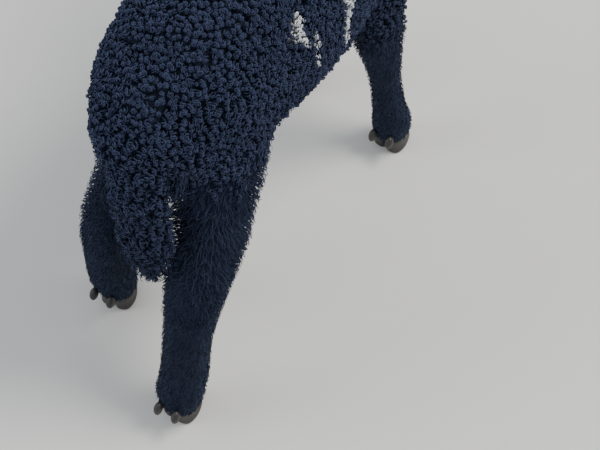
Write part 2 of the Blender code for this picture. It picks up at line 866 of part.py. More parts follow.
def ear_surface(name):
    """The left ear: a leaf rolled into a cup, narrow and deep at the root, flatter at the tip."""
    table = curve_through(
        [
            (0.00, 10, 105, 2.4),
            (0.16, 15, 88, 2.2),
            (0.36, 20, 64, 2.0),
            (0.58, 21, 48, 1.8),
            (0.78, 16, 38, 1.6),
            (0.92, 9, 30, 1.3),
            (1.00, 2.5, 24, 1.0),
        ],
        2,
    )
    along = EAR_DIRECTION
    opening = (EAR_OPENING - along * EAR_OPENING.dot(along)).normalized()
    across = along.cross(opening)
    columns = 8
    bm = bmesh.new()
    faces = {1: [], -1: []}
    for share, half_width, half_turn, thickness in table:
        middle = EAR_ROOT + along * (EAR_LENGTH * share) - Z * (14 * MM * share**2)
        turn = math.radians(half_turn)
        radius = half_width * MM / turn
        for face in (1, -1):
            row = []
            for k in range(columns + 1):
                v = 2 * k / columns - 1
                angle = v * turn
                edge = 1 - 0.6 * abs(v) ** 3
                out = -opening * math.cos(angle) + across * math.sin(angle)
                half = thickness * MM / 2 * edge * face
                point = middle + opening * radius + out * (radius + half)
                row.append(bm.verts.new(point))
            faces[face].append(row)
    outer, inner = faces[1], faces[-1]
    for rows in (outer, inner):
        for row, after in zip(rows, rows[1:]):
            for k in range(columns):
                bm.faces.new((row[k], row[k + 1], after[k + 1]))
                bm.faces.new((row[k], after[k + 1], after[k]))
    for a, b in zip(range(len(outer)), range(1, len(outer))):
        for k in (0, columns):
            bm.faces.new((outer[a][k], outer[b][k], inner[b][k], inner[a][k]))
    for end in (0, len(outer) - 1):
        for k in range(columns):
            bm.faces.new((outer[end][k], outer[end][k + 1], inner[end][k + 1], inner[end][k]))
    return new_object(name, bm)


def swollen(obj, distance):
    """A copy of the object with its skin moved outwards."""
    made = copy_of(obj, "swollen")
    displace = made.modifiers.new("Displace", "DISPLACE")
    displace.strength = distance
    displace.mid_level = 0.0
    apply_modifiers(made)
    return made


def build_ears(head):
    left = ear_surface("ear_left")
    right = mirrored(left, "ear_right")
    for ear in (left, right):
        ear.data.transform(head_matrix())
        cut_clear(ear, head)
    return [left, right]


def claw_outline():
    """Half a cloven foot seen from below: flat towards its twin, rounded outside, toe at -Y."""
    w, l = CLAW_WIDTH, CLAW_LENGTH
    return [
        Vector((0.00 * w, -0.50 * l)),
        Vector((0.34 * w, -0.47 * l)),
        Vector((0.72 * w, -0.30 * l)),
        Vector((0.96 * w, -0.02 * l)),
        Vector((1.00 * w, 0.22 * l)),
        Vector((0.84 * w, 0.42 * l)),
        Vector((0.45 * w, 0.50 * l)),
        Vector((0.08 * w, 0.46 * l)),
        Vector((0.00 * w, 0.20 * l)),
    ]


def build_claw(name, foot, side):
    """One claw, on the side of the foot given by side, from its flat sole up to the coronet."""
    x, y, toe_out = FEET[foot]
    point, down = coronet(foot)
    bm = bmesh.new()
    rings = []
    for height, scale, shift in CLAW_RINGS:
        ring = []
        for p in claw_outline():
            flat = Vector((side * (CLAW_SPLIT / 2 + p.x * scale), p.y * scale + shift * MM))
            flat.rotate(Matrix.Rotation(toe_out, 2))
            ring.append(bm.verts.new((x + flat.x, y + flat.y, height * MM)))
        rings.append(ring)
    for ring, after in zip(rings, rings[1:]):
        for k in range(len(ring)):
            m = (k + 1) % len(ring)
            bm.faces.new((ring[k], ring[m], after[m], after[k]))
    bm.faces.new(rings[0])
    bm.faces.new(rings[-1])
    claw = new_object(name, bm)
    boolean(claw, block("block", [(point, -down)]), "INTERSECT")
    return claw


def build_hooves():
    made = []
    for foot in FEET:
        for side, word in ((1, "a"), (-1, "b")):
            made.append(build_claw(f"hoof_{foot}_{word}", foot, side))
    return made


def cut_clear(obj, neighbour):
    """Takes a neighbour and a thin gap round it away from the object."""
    boolean(obj, swollen(neighbour, GAP), "DIFFERENCE", FLEECE_SOLVER)
    keep_largest_surface(obj)


def build_dewclaws(lower_legs):
    """The two small claws behind each pastern."""
    made = []
    for foot, (x, y, _) in FEET.items():
        leg = lower_legs[foot]
        for side, word in ((1, "a"), (-1, "b")):
            centre = Vector((x + side * DEWCLAW_APART / 2, y + DEWCLAW_BACK, DEWCLAW_HEIGHT))
            lean = Matrix.Rotation(math.radians(20), 4, "X")
            claw = ball(f"dewclaw_{foot}_{word}", centre, DEWCLAW_RADII, lean, 1)
            cut_clear(claw, leg)
            made.append(claw)
    return made


def build_horn_buds(head):
    """The short blunt buds of a young lamb's horns, leaning out and back beside the poll."""
    lean = Matrix.Rotation(math.radians(14), 4, "Y") @ Matrix.Rotation(math.radians(-24), 4, "X")
    left = ball("horn_bud_left", HORN_BUD_CENTRE, HORN_BUD_RADII, lean, 2)
    right = mirrored(left, "horn_bud_right")
    for bud in (left, right):
        bud.data.transform(head_matrix())
        cut_clear(bud, head)
    return [left, right]


def centre_on_floor(objects):
    """Moves everything so that the middle of the box round it stands over the origin."""
    corners = np.array([obj.matrix_world @ v.co for obj in objects for v in obj.data.vertices])
    low, high = corners.min(axis=0), corners.max(axis=0)
    shift = Vector((-(low[0] + high[0]) / 2, -(low[1] + high[1]) / 2, -low[2]))
    for obj in objects:
        obj.data.transform(Matrix.Translation(shift))


def main():
    clear_scene()
    wool = material("black_wool", (0.016, 0.019, 0.030), 0.92)
    hair = material("short_black_hair", (0.012, 0.013, 0.020), 0.80)
    horn = material("hoof_horn", (0.030, 0.026, 0.024), 0.45)
    eyeball = material("eye", (0.10, 0.055, 0.02), 0.08)
    parts = build_body()
    head = build_head()
    ears = build_ears(head)
    eyes = build_eyes()
    horns = build_horn_buds(head)
    hooves = build_hooves()
    legs = {foot: bpy.data.objects[lower_leg_name(foot)] for foot in FEET}
    hooves += build_dewclaws(legs)
    for obj in parts:
        obj.data.materials.clear()
        obj.data.materials.append(hair if obj.name.endswith("lower") else wool)
    for group, finish in (([head] + ears, hair), (eyes, eyeball), (hooves + horns, horn)):
        for obj in group:
            obj.data.materials.clear()
            obj.data.materials.append(finish)
    everything = parts + [head] + ears + eyes + horns + hooves
    centre_on_floor(everything)
    for obj in everything:
        obj.data.shade_smooth()
        obj.data.set_sharp_from_angle(angle=math.radians(50))


main()
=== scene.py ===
"""A black country-sheep lamb, life size and standing still: its skin, fleece, hair, eyes and horn.

Metres, +Z up. The lamb faces -Y and its left side is at +X. The tables are in millimetres.
"""

import math
from collections import namedtuple

import bmesh
import bpy
import numpy as np
from mathutils import Matrix, Vector, noise


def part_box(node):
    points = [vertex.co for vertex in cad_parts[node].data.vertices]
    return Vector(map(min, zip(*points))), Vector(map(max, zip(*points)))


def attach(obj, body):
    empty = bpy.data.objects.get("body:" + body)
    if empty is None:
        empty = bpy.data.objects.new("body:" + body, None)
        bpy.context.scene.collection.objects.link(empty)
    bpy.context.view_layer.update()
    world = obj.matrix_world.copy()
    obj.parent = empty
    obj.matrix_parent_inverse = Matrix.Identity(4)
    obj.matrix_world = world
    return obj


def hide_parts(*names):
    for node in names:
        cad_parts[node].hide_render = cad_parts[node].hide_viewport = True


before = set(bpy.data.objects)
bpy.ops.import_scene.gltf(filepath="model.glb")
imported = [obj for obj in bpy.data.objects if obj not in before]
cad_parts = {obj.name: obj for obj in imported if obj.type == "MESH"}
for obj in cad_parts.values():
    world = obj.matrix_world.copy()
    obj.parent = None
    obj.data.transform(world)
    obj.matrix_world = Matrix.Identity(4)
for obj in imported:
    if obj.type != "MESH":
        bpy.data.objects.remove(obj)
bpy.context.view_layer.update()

MM = 0.001

# Camera: degrees round from the front and up from the floor, degrees of roll, and metres
CAMERA_AROUND = 209.32
CAMERA_UP = 56.578
CAMERA_ROLL = 0.33
CAMERA_DISTANCE = 1.8545
CAMERA_AIM = Vector((-0.1237, 0.1941, 0.25))
CAMERA_LENS = 127.26

# Where the head sits on the neck, how far it is tilted, and the neck's way up in the head's frame
HEAD_JOINT = Vector((0, -252, 500)) * MM
HEAD_TILT = math.radians(40)
NECK_UP = Vector((0, -0.35, 1))
HEAD_PLACE = Matrix.Translation(HEAD_JOINT) @ Matrix.Rotation(HEAD_TILT, 4, "X")

# Feet: x and y of the middle of each foot in millimetres, and how far the toes turn out
FEET = {
    "fore_left": (51, -166, math.radians(5)),
    "fore_right": (-74, -149, math.radians(-5)),
    "hind_left": (71, 153, math.radians(8)),
    "hind_right": (-50, 230, math.radians(-4)),
}
# How far each hock bows out, in millimetres
HOCK_OUT = {"hind_left": -5, "hind_right": 4}

# Coat: at its full depth above one height, thinning to short hair at the other
FLEECE_DEPTH = 12.0 * MM
HAIR_DEPTH = 2.6 * MM
FULL_COAT = 235 * MM
BARE_LEG = 165 * MM

# One cross-section: its middle, half width, half depths to the front and back, and squareness
Section = namedtuple("Section", "x y z wide front back square", defaults=(2.0,))

TRUNK = [
    Section(2, 196, 380, 28, 22, 32),
    Section(2, 184, 368, 52, 48, 58, 2.1),
    Section(2, 150, 354, 73, 80, 84, 2.2),
    Section(3, 92, 345, 83, 100, 90, 2.3),
    Section(4, 35, 338, 90, 104, 100, 2.2),
    Section(4, -25, 332, 92, 106, 106, 2.2),
    Section(2, -85, 328, 86, 108, 108, 2.2),
    Section(0, -135, 328, 75, 108, 106, 2.2),
    Section(0, -180, 332, 62, 90, 92, 2.1),
    Section(0, -214, 336, 40, 56, 60),
]
NECK = [
    Section(0, -124, 350, 60, 72, 80),
    Section(0, -168, 382, 55, 66, 74),
    Section(0, -206, 424, 47, 54, 60),
    Section(0, -232, 463, 41, 46, 50),
    Section(0, -250, 493, 36, 37, 41),
    Section(0, -268, 522, 33, 34, 38),
]
THROAT_END = Section(0, -258, 504, 24, 22, 26)
TAIL = [
    Section(0, 150, 404, 24, 16, 16),
    Section(0, 180, 388, 27, 17, 17),
    Section(-3, 200, 362, 28, 18, 18),
    Section(-7, 211, 325, 28, 18, 18),
    Section(-10, 214, 280, 28, 17, 17),
    Section(-12, 214, 236, 27, 17, 17),
    Section(-11, 213, 200, 23, 14, 14),
    Section(-9, 212, 172, 13, 9, 9),
]
# How far in the skin of the throat and of the tail lies
THROAT_INSET = 6 * MM
TAIL_INSET = 8 * MM
SKULL = [
    Section(0, 22, -10, 30, 34, 34),
    Section(0, 0, -2, 35, 40, 36),
    Section(0, -26, 3, 39, 42, 34, 2.2),
    Section(0, -54, 4, 40, 40, 32, 2.3),
    Section(0, -80, 1, 34, 38, 30, 2.3),
    Section(0, -104, -2, 27, 35, 26, 2.3),
    Section(0, -128, -4, 23, 29, 22, 2.3),
    Section(0, -146, -7, 21, 21, 17, 2.2),
    Section(0, -160, -9, 15, 12, 10, 2.0),
]
JAW = [
    Section(0, -2, -24, 24, 24, 22),
    Section(0, -32, -30, 26, 22, 23),
    Section(0, -62, -29, 23, 18, 19),
    Section(0, -95, -25, 18, 13, 13),
    Section(0, -125, -22, 15, 10, 10),
    Section(0, -148, -20, 12, 8, 8),
]

# Rounded masses of the left half of the head, or on its middle line: name, middle and radii
HEAD_BULGES = [
    ("cheek", Vector((22, -40, -20)), Vector((14, 28, 24))),
    ("brow", Vector((30, -64, 15)), Vector((11, 19, 13))),
    ("lip", Vector((8, -147, -9)), Vector((14, 14, 12))),
    ("chin", Vector((0, -143, -24)), Vector((13, 15, 8.5))),
]

# Furrows on the left half of the head: the line each follows, its depth and its half width
FURROWS = [
    ([(24, -52, 22), (33, -60, 24), (37, -70, 21), (36, -80, 14)], 1.3, 2.2),
    ([(33, -58, 1), (37, -68, -1), (37, -78, 3)], 0.9, 2.2),
    ([(31, -82, 9), (28, -92, 6), (25, -102, 3)], 1.2, 3.4),
    ([(0, -166, -2), (0, -167, -8), (0, -165, -14), (0, -160, -18)], 1.2, 1.3),
    ([(13, -152, 4), (16, -146, -2), (17, -140, -8)], 0.8, 2.2),
    ([(18, -120, 10), (21, -112, 2), (20, -106, -6)], 0.7, 3.0),
    ([(24, -34, -38), (26, -56, -34), (23, -78, -30), (18, -98, -26)], 1.0, 4.0),
]

EYE_RADIUS = 12.2 * MM
EYE_CENTRE = Vector((31, -67, 11)) * MM
EYE_LOOK = Vector((0.93, -0.33, 0.13)).normalized()
EYE_ACROSS = Vector((0.30, 0.93, 0.16))
EYE_OPENING = (20.5 * MM, 12.2 * MM)
# The clear bulge in front of the iris: its height and its reach, as shares of the eye's radius
BULGE_HEIGHT = 0.075
BULGE_REACH = 0.42
PUPIL_TURN = math.radians(-36)
PUPIL_HALF_SIZES = (0.43, 0.17)
LID_THICKNESS = 2.0 * MM
LID_GAP = 0.3 * MM

EAR_ROOT = Vector((35, -17, 24)) * MM
EAR_LENGTH = 88 * MM
EAR_DIRECTION = Vector((0.93, 0.30, -0.16)).normalized()
EAR_OPENING = Vector((0.10, -0.80, -0.58)).normalized()
EAR_DROOP = 14 * MM
EAR_THICKNESS = 1.9 * MM
EAR_RIDGE = 0.9 * MM
EAR_RIPPLE = 0.8 * MM
# Along the ear: share of its length, half width, and half the angle it is rolled through
EAR_ROLL = [
    (-0.06, 8, 112),
    (0.00, 10, 105),
    (0.16, 15, 88),
    (0.36, 20, 64),
    (0.58, 21, 48),
    (0.78, 16, 38),
    (0.92, 9, 30),
    (1.00, 2.5, 24),
]

NOSTRIL_CENTRE = (9.5, -158, -3)
NOSTRIL_RADII = (2.6, 6.5, 5.2)
NOSTRIL_TURN = Matrix.Rotation(math.radians(38), 4, "Y") @ Matrix.Rotation(math.radians(20), 4, "Z")
# The line between the lips: y of its corners and front, its height, its rise to the corners and
# its sag between them
MOUTH_CORNER = -102
MOUTH_FRONT = -158
MOUTH_HEIGHT = -19
MOUTH_RISE = 5.5
MOUTH_SAG = 1.5
MOUTH_STEPS = 14
# The groove along that line: its reach past the lips, its least depth and how much deeper it is
# in front, and half its height outside and inside
MOUTH_PAST_LIPS = 5
MOUTH_DEPTH = 0.8
MOUTH_DEEPER = 3.6
MOUTH_HALF_HEIGHTS = (1.9, 0.6)

HORN_BUD_CENTRE = Vector((17, -16, 42)) * MM
HORN_BUD_RADII = (6.5, 7.0, 15)
HORN_BUD_LEAN = Matrix.Rotation(math.radians(14), 4, "Y") @ Matrix.Rotation(math.radians(-24), 4, "X")

CLAW_LENGTH = 37
CLAW_WIDTH = 15.5
CLAW_SPLIT = 2.4
# Round a sole, from the toe along the outer side to the heel and back along the split between
# the claws: shares of its width and length
CLAW_OUTLINE = [
    (0.00, -0.30),
    (0.06, -0.49),
    (0.34, -0.48),
    (0.72, -0.30),
    (0.96, -0.02),
    (1.00, 0.22),
    (0.84, 0.42),
    (0.44, 0.50),
    (0.08, 0.46),
    (0.00, 0.20),
    (0.00, -0.10),
]
# Up a claw: height, scale of the outline, and how far it has moved back
CLAW_RINGS = ((0.0, 0.93, 0.0), (2.5, 1.0, 0.2), (14.0, 0.92, 2.6), (60.0, 0.66, 14.0))
CORONET_FRONT = 30 * MM
CORONET_SLOPE = math.radians(-18)
DEWCLAW_RADII = (4.2, 5.0, 7.5)
DEWCLAW_APART = 19
DEWCLAW_BACK = 31
DEWCLAW_HEIGHT = 35
DEWCLAW_LEAN = Matrix.Rotation(math.radians(20), 4, "X")

# White wool on the right flank: where each streak starts and ends, and half its width
WHITE_STREAKS = [
    ((-65, 100, 396), (-70, 106, 389), 6.6),
    ((-71, 104, 387), (-77, 100, 370), 3.2),
    ((-77, 87, 370), (-83, 89, 334), 3.0),
    ((-75, 35, 373), (-83, 39, 315), 5.0),
    ((-82, 22, 364), (-83, 33, 350), 2.8),
]
FLANK_OUT = Vector((-0.91, 0.12, 0.40))
STREAK_DEPTH = 32
# Over which distances the white begins, in radii with up to one radius more where it is ragged
STREAK_EDGE = (1.62, 1.42)

# The tight curls are joined in bands from the neck to the rump, and the loose locks below them
# in their own: name, and where each ends in millimetres
KNOT_BANDS = [
    ("fleece_neck", -195),
    ("fleece_shoulder", -130),
    ("fleece_ribs", -60),
    ("fleece_flank", 0),
    ("fleece_loin", 60),
    ("fleece_hip", 125),
    ("fleece_rump", 400),
]
LOCK_BANDS = [("locks_chest", -60), ("locks_thighs", 175), ("locks_tail", 400)]
LEG_BANDS = [("hair_forelegs", 0), ("hair_hindlegs", 1000)]
BANDS_START = -1000
KNOT_SPACING = 3.62 * MM
KNOT_RADIUS = 2.65 * MM
KNOT_STRANDS = 2
LOCK_SPACING = 2.45 * MM
HEAD_KNOT_SPACING = 2.9 * MM
FACE_HAIR_SPACING = 1.45 * MM
EAR_HAIR_SPACING = 1.6 * MM
# Millimetres where the coat is shortest, and what is added to them where it is longest
KNOT_HEIGHT = (4.5, 6.4)
LOCK_LENGTH = (5.0, 4.5)
LOCK_LIFT = (3.2, 6.0)
LEG_LOCK_LENGTH = (4.2, 2.0)
LEG_LOCK_LIFT = (2.0, 1.4)
HEAD_KNOT_HEIGHT = (2.8, 5.0)
HEAD_KNOT_RADIUS = (1.1, 0.9)
FACE_HAIR_LENGTH = (2.8, 2.2)
LIFT_BETWEEN_THIGHS = 8.0
STRAND_SIDES = 3
TRIES_PER_ROOT = 9
# How wide a tuft's own patch is on the map that the coat is baked by
OWN_PATCH = 0.003

# Which way the coat of each part lies, the poll's in the head's own frame
TRUNK_LIE = (0, 0.86, -0.5)
NECK_LIE = (0, 0.55, -0.83)
TAIL_LIE = (0, 0.15, -1.0)
LEG_LIE = (0, 0.12, -1.0)
POLL_LIE = (0, -1.0, -0.1)
# Where one zone of the coat begins, in millimetres on the drawing: nothing of it before the first
# number, and all of it past the second
NECK_START = (-150, -215)
NECK_FOOT = (350, 400)
TAIL_START = (186, 200)
TAIL_TOP = (420, 390)
LEG_TOP = (285, 235)
HIND_HALF = (20, 90)
THIGH_GAP = (44, 34)
# Heights over which locks give way to curls, upwards
FORE_CURLS = (195, 250)
HIND_CURLS = (270, 345)
TAIL_CURLS = (185, 260)
# Heights in metres over which the painted shade of the legs ends, upwards, and how dark that painted
# shade makes them
LEG_SHADE_HEIGHTS = (0.10, 0.34)
LEG_SHADE = 0.16

# Colours, without their alpha
# The coats' root colours carry painted shade deep in the coat, and the black coats' tip colours a
# painted highlight on the curls
WOOL_SHADED_ROOT = (0.026, 0.032, 0.058)
WOOL_HIGHLIT_TIP = (0.034, 0.042, 0.083)
HAIR_SHADED_ROOT = (0.004, 0.005, 0.009)
HAIR_HIGHLIT_TIP = (0.012, 0.016, 0.033)
WHITE_WOOL_SHADED_ROOT = (0.20, 0.19, 0.18)
WHITE_WOOL_TIP = (0.72, 0.73, 0.74)
HIDE = (0.018, 0.023, 0.042)
FACE_SKIN = (0.012, 0.015, 0.026)
WHITE_SKIN = (0.35, 0.33, 0.33)
SHEEN = (0.35, 0.52, 1.0)
HORN = (0.012, 0.010, 0.009)
IRIS_DARK = (0.008, 0.0035, 0.0015)
IRIS_LIGHT = (0.055, 0.022, 0.006)
IRIS_RIM = (0.004, 0.003, 0.003)
EYE_WHITE = (0.05, 0.035, 0.03)
PUPIL = (0.001, 0.001, 0.0015)
FLOOR = (0.72, 0.70, 0.66)
SKY = (0.86, 0.92, 1.0)

# Light from all round, and lamps: name, place, width, strength and colour
SKY_STRENGTH = 0.75
LIGHTS_AIM = Vector((0, 0, 0.3))
LIGHTS = [
    ("key", Vector((-1.2, -0.6, 2.6)), 1.2, 62, (1.0, 0.98, 0.95)),
    ("fill", Vector((1.9, 1.7, 1.6)), 1.6, 26, (0.90, 0.95, 1.0)),
]

# Steps between two sections of a tube, and corners round it
TUBE_STEPS = 5
TUBE_SIDES = 28


# Making shapes


def deselect_all():
    bpy.ops.object.select_all(action="DESELECT")


def choose(obj):
    deselect_all()
    obj.select_set(True)
    bpy.context.view_layer.objects.active = obj


def modify(obj, kind, **settings):
    """Adds a modifier with these settings and makes its result the object's own mesh."""
    choose(obj)
    modifier = obj.modifiers.new(kind.title(), kind)
    for name, value in settings.items():
        setattr(modifier, name, value)
    bpy.ops.object.modifier_apply(modifier=modifier.name)


def joined(name, objects):
    choose(objects[0])
    for obj in objects:
        obj.select_set(True)
    bpy.ops.object.join()
    made = bpy.context.active_object
    made.name = name
    return made


def put(obj, matrix):
    """Moves the mesh itself, so that the object stays at the origin."""
    obj.data.transform(matrix)
    obj.data.update()


def read_rows(items, name, width, kind=np.float32):
    """One value of every item of a mesh, as an array with a row for each."""
    flat = np.empty(len(items) * width, kind)
    items.foreach_get(name, flat)
    return flat.reshape(-1, width)


def vertex_array(mesh, name="co"):
    return read_rows(mesh.vertices, name, 3).astype(float)


def set_vertices(mesh, places):
    mesh.vertices.foreach_set("co", np.asarray(places, np.float32).ravel())
    mesh.update()


def unit(vectors):
    length = np.linalg.norm(vectors, axis=-1, keepdims=True)
    return vectors / np.maximum(length, 1e-9)


def square_to(vectors, axes):
    """Unit vectors: what is left of these without their part along the unit axes."""
    return unit(vectors - axes * (vectors * axes).sum(axis=1, keepdims=True))


def smooth_step(low, high, value):
    share = np.clip((value - low) / (high - low), 0, 1)
    return share * share * (3 - 2 * share)


def curve_through(rows, steps):
    """A smooth curve through the rows of numbers, with this many steps between two of them."""
    rows = np.array(rows, float)
    padded = np.vstack([2 * rows[0] - rows[1], rows, 2 * rows[-1] - rows[-2]])
    points = []
    for i in range(1, len(rows)):
        p0, p1, p2, p3 = padded[i - 1 : i + 3]
        for t in np.arange(steps) / steps:
            bend = 2 * p0 - 5 * p1 + 4 * p2 - p3
            twist = 3 * p1 - p0 - 3 * p2 + p3
            points.append(0.5 * (2 * p1 + (p2 - p0) * t + bend * t**2 + twist * t**3))
    points.append(rows[-1])
    return np.array(points)


def signed_power(value, power):
    return math.copysign(abs(value) ** power, value)


def sleeve(name, rings, sides):
    """A cylinder cut into rings, and for each of its vertices the ring and the angle round it."""
    deselect_all()
    bpy.ops.mesh.primitive_cylinder_add(vertices=sides, radius=1, depth=rings - 1)
    obj = bpy.context.active_object
    obj.name = name
    bpy.ops.object.mode_set(mode="EDIT")
    bpy.context.tool_settings.mesh_select_mode = (False, True, False)
    bpy.ops.mesh.select_all(action="DESELECT")
    mesh = bmesh.from_edit_mesh(obj.data)
    for edge in mesh.edges:
        if abs(edge.verts[0].co.z - edge.verts[1].co.z) > 0.5:
            edge.select_set(True)
    bmesh.update_edit_mesh(obj.data)
    bpy.ops.mesh.subdivide(number_cuts=rings - 2)
    bpy.ops.object.mode_set(mode="OBJECT")
    places = [vertex.co for vertex in obj.data.vertices]
    return obj, [(round(p.z + (rings - 1) / 2), math.atan2(p.y, p.x)) for p in places]


def edit_whole(obj, operator, **settings):
    """Runs an edit mode operator on the whole mesh."""
    choose(obj)
    bpy.ops.object.mode_set(mode="EDIT")
    bpy.ops.mesh.select_all(action="SELECT")
    operator(**settings)
    bpy.ops.object.mode_set(mode="OBJECT")


def face_outwards(obj):
    edit_whole(obj, bpy.ops.mesh.normals_make_consistent, inside=False)


def tube(name, sections, inset=0.0):
    """A closed tube through the sections, drawn in by a depth or by a rule for each height."""
    rows = curve_through(sections, TUBE_STEPS)
    centres = [Vector(row[:3]) * MM for row in rows]
    obj, spots = sleeve(name, len(rows), TUBE_SIDES)
    last = len(rows) - 1
    for vertex, (ring, turn) in zip(obj.data.vertices, spots):
        row, centre = rows[ring], centres[ring]
        along = (centres[min(ring + 1, last)] - centres[max(ring - 1, 0)]).normalized()
        across = (Vector((1, 0, 0)) - along * along.x).normalized()
        front = along.cross(across)
        depth_in = inset(centre.z) if callable(inset) else inset
        wide, fore, back = (max(size * MM - depth_in, 2 * MM) for size in row[3:6])
        if ring == 0:
            centre = centre + along * depth_in
        if ring == last:
            centre = centre - along * depth_in
        c = signed_power(math.cos(turn), 2 / row[6])
        s = signed_power(math.sin(turn), 2 / row[6])
        vertex.co = centre + across * (wide * c) + front * ((fore if s > 0 else back) * s)
    face_outwards(obj)
    return obj


def ball(name, centre, radii, turn=Matrix(), rings=24):
    """An ellipsoid, its middle and radii in millimetres."""
    deselect_all()
    bpy.ops.mesh.primitive_uv_sphere_add(segments=2 * rings, ring_count=rings, radius=1)
    obj = bpy.context.active_object
    obj.name = name
    # The last entry keeps the middle in its place when the whole matrix is brought to metres
    stretch = Matrix.Diagonal((*radii, 1000))
    put(obj, Matrix.Translation(Vector(centre) * MM) @ turn @ stretch * MM)
    return obj


def mirrored(obj, name):
    """A copy on the other side of the middle plane."""
    made = obj.copy()
    made.data = obj.data.copy()
    made.name = name
    bpy.context.scene.collection.objects.link(made)
    put(made, Matrix.Diagonal((-1, 1, 1, 1)))
    made.data.flip_normals()
    return made


def melt(name, objects, voxel, smoothing):
    """Overlapping closed shapes as one smooth skin."""
    skin = joined(name, objects)
    modify(skin, "REMESH", mode="VOXEL", voxel_size=voxel)
    modify(skin, "SMOOTH", factor=0.5, iterations=smoothing)
    return skin


def carve(obj, tool, operation):
    modify(obj, "BOOLEAN", object=tool, operation=operation, solver="MANIFOLD")
    bpy.data.objects.remove(tool)


def cut_off(obj, point, out, chosen):
    """Cuts away what lies past a plane, among the chosen vertices, and closes the cut."""
    choose(obj)
    bpy.ops.object.mode_set(mode="EDIT")
    bpy.context.tool_settings.mesh_select_mode = (True, False, False)
    bpy.ops.mesh.select_all(action="DESELECT")
    mesh = bmesh.from_edit_mesh(obj.data)
    for vertex in mesh.verts:
        vertex.select_set(chosen(vertex.co))
    mesh.select_flush(True)
    bmesh.update_edit_mesh(obj.data)
    bpy.ops.mesh.bisect(plane_co=point, plane_no=out, use_fill=True, clear_outer=True)
    bpy.ops.object.mode_set(mode="OBJECT")


# Skin


def body_inset(height):
    """How deep the coat is at this height above the floor, and so how far in the skin lies."""
    share = min(1.0, max(0.0, (height - BARE_LEG) / (FULL_COAT - BARE_LEG)))
    return max(HAIR_DEPTH, FLEECE_DEPTH * share)


def foreleg(foot):
    """The sections of a foreleg, from the shoulder blade down to the coronet over this foot."""
    x, y, _ = FEET[foot]
    side = math.copysign(1, x)
    swing = y + 150
    elbow = side * 57
    return [
        Section(side * 40, -104, 396, 20, 26, 26),
        Section(side * 50, -132, 348, 27, 38, 42),
        Section(side * 55, -138, 296, 30, 42, 50),
        Section(elbow, -124, 250, 29, 38, 46),
        Section(0.8 * elbow + 0.2 * x, -125 + 0.15 * swing, 206, 25, 30, 34),
        Section(0.65 * elbow + 0.35 * x, -132 + 0.45 * swing, 158, 20, 23, 24),
        Section(0.45 * elbow + 0.55 * x, -137 + 0.75 * swing, 108, 17, 18, 18),
        Section(0.15 * elbow + 0.85 * x, -140 + 0.95 * swing, 62, 19, 20, 21),
        Section(x, y + 7, 38, 22, 23, 24),
        Section(x, y + 2, 10, 15, 17, 18),
    ]


def hindleg(foot):
    """The sections of a hind leg, from the hip down to the coronet over this foot."""
    x, y, _ = FEET[foot]
    side = math.copysign(1, x)
    swing = y - 170
    hip = side * 42
    bow = side * HOCK_OUT[foot]
    return [
        Section(side * 34, 118, 396, 24, 42, 40),
        Section(side * 40, 116, 350, 35, 62, 66),
        Section(hip, 122 + 0.04 * swing, 298, 37, 60, 66),
        Section(0.9 * hip + 0.1 * x + 0.4 * bow, 136 + 0.09 * swing, 252, 36, 56, 54),
        Section(0.7 * hip + 0.3 * x + 0.9 * bow, 158 + 0.15 * swing, 210, 33, 53, 40),
        Section(0.45 * hip + 0.55 * x + bow, 182 + 0.28 * swing, 172, 28.5, 43, 30),
        Section(0.2 * hip + 0.8 * x + 0.5 * bow, 184 + 0.56 * swing, 118, 23.5, 29, 25),
        Section(x, 178 + 0.82 * swing, 62, 24.5, 27, 25),
        Section(x, y + 9, 38, 25, 27, 21),
        Section(x, y + 3, 10, 15, 18, 17),
    ]


def coronet(foot):
    """The sloping plane between a leg and its hooves, pointing down."""
    x, y, _ = FEET[foot]
    point = Vector((x * MM, (y - CLAW_LENGTH * 0.25) * MM, CORONET_FRONT))
    return point, Vector((0, math.sin(CORONET_SLOPE), -math.cos(CORONET_SLOPE)))


def build_body_skin():
    """Trunk, neck, tail and legs as one skin under the fleece."""
    shapes = [
        tube("trunk", TRUNK, body_inset),
        tube("neck_skin", NECK, body_inset),
        tube("tail_skin", TAIL, TAIL_INSET),
    ]
    for foot in FEET:
        sections = foreleg(foot) if foot.startswith("fore") else hindleg(foot)
        shapes.append(tube(foot, sections, body_inset))
    skin = melt("skin", shapes, voxel=3.2 * MM, smoothing=6)
    for foot in FEET:
        point, down = coronet(foot)
        cut_off(skin, point, down, lambda place: (place - point).length < 60 * MM)
    return skin


def eye_axes():
    """Across the opening of the left eye, up it, and out of the eye."""
    across = (EYE_ACROSS - EYE_LOOK * EYE_ACROSS.dot(EYE_LOOK)).normalized()
    return across, EYE_LOOK.cross(across), EYE_LOOK


def almond():
    """A prism as wide as the opening between the lids, along the way the left eye looks."""
    across, up, out = eye_axes()
    obj, spots = sleeve("opening", 3, 32)
    for vertex, (ring, turn) in zip(obj.data.vertices, spots):
        wide = EYE_OPENING[0] / 2 * math.cos(turn)
        high = EYE_OPENING[1] / 2 * signed_power(math.sin(turn), 1.25)
        spread = 1 + 0.08 * ring
        vertex.co = EYE_CENTRE + across * (wide * spread) + up * (high * spread) + out * (10 * MM * ring)
    face_outwards(obj)
    return obj


def muzzle_half_width(y):
    rows = curve_through(SKULL, TUBE_STEPS)
    order = np.argsort(rows[:, 1])
    return float(np.interp(y, rows[order, 1], rows[order, 3]))


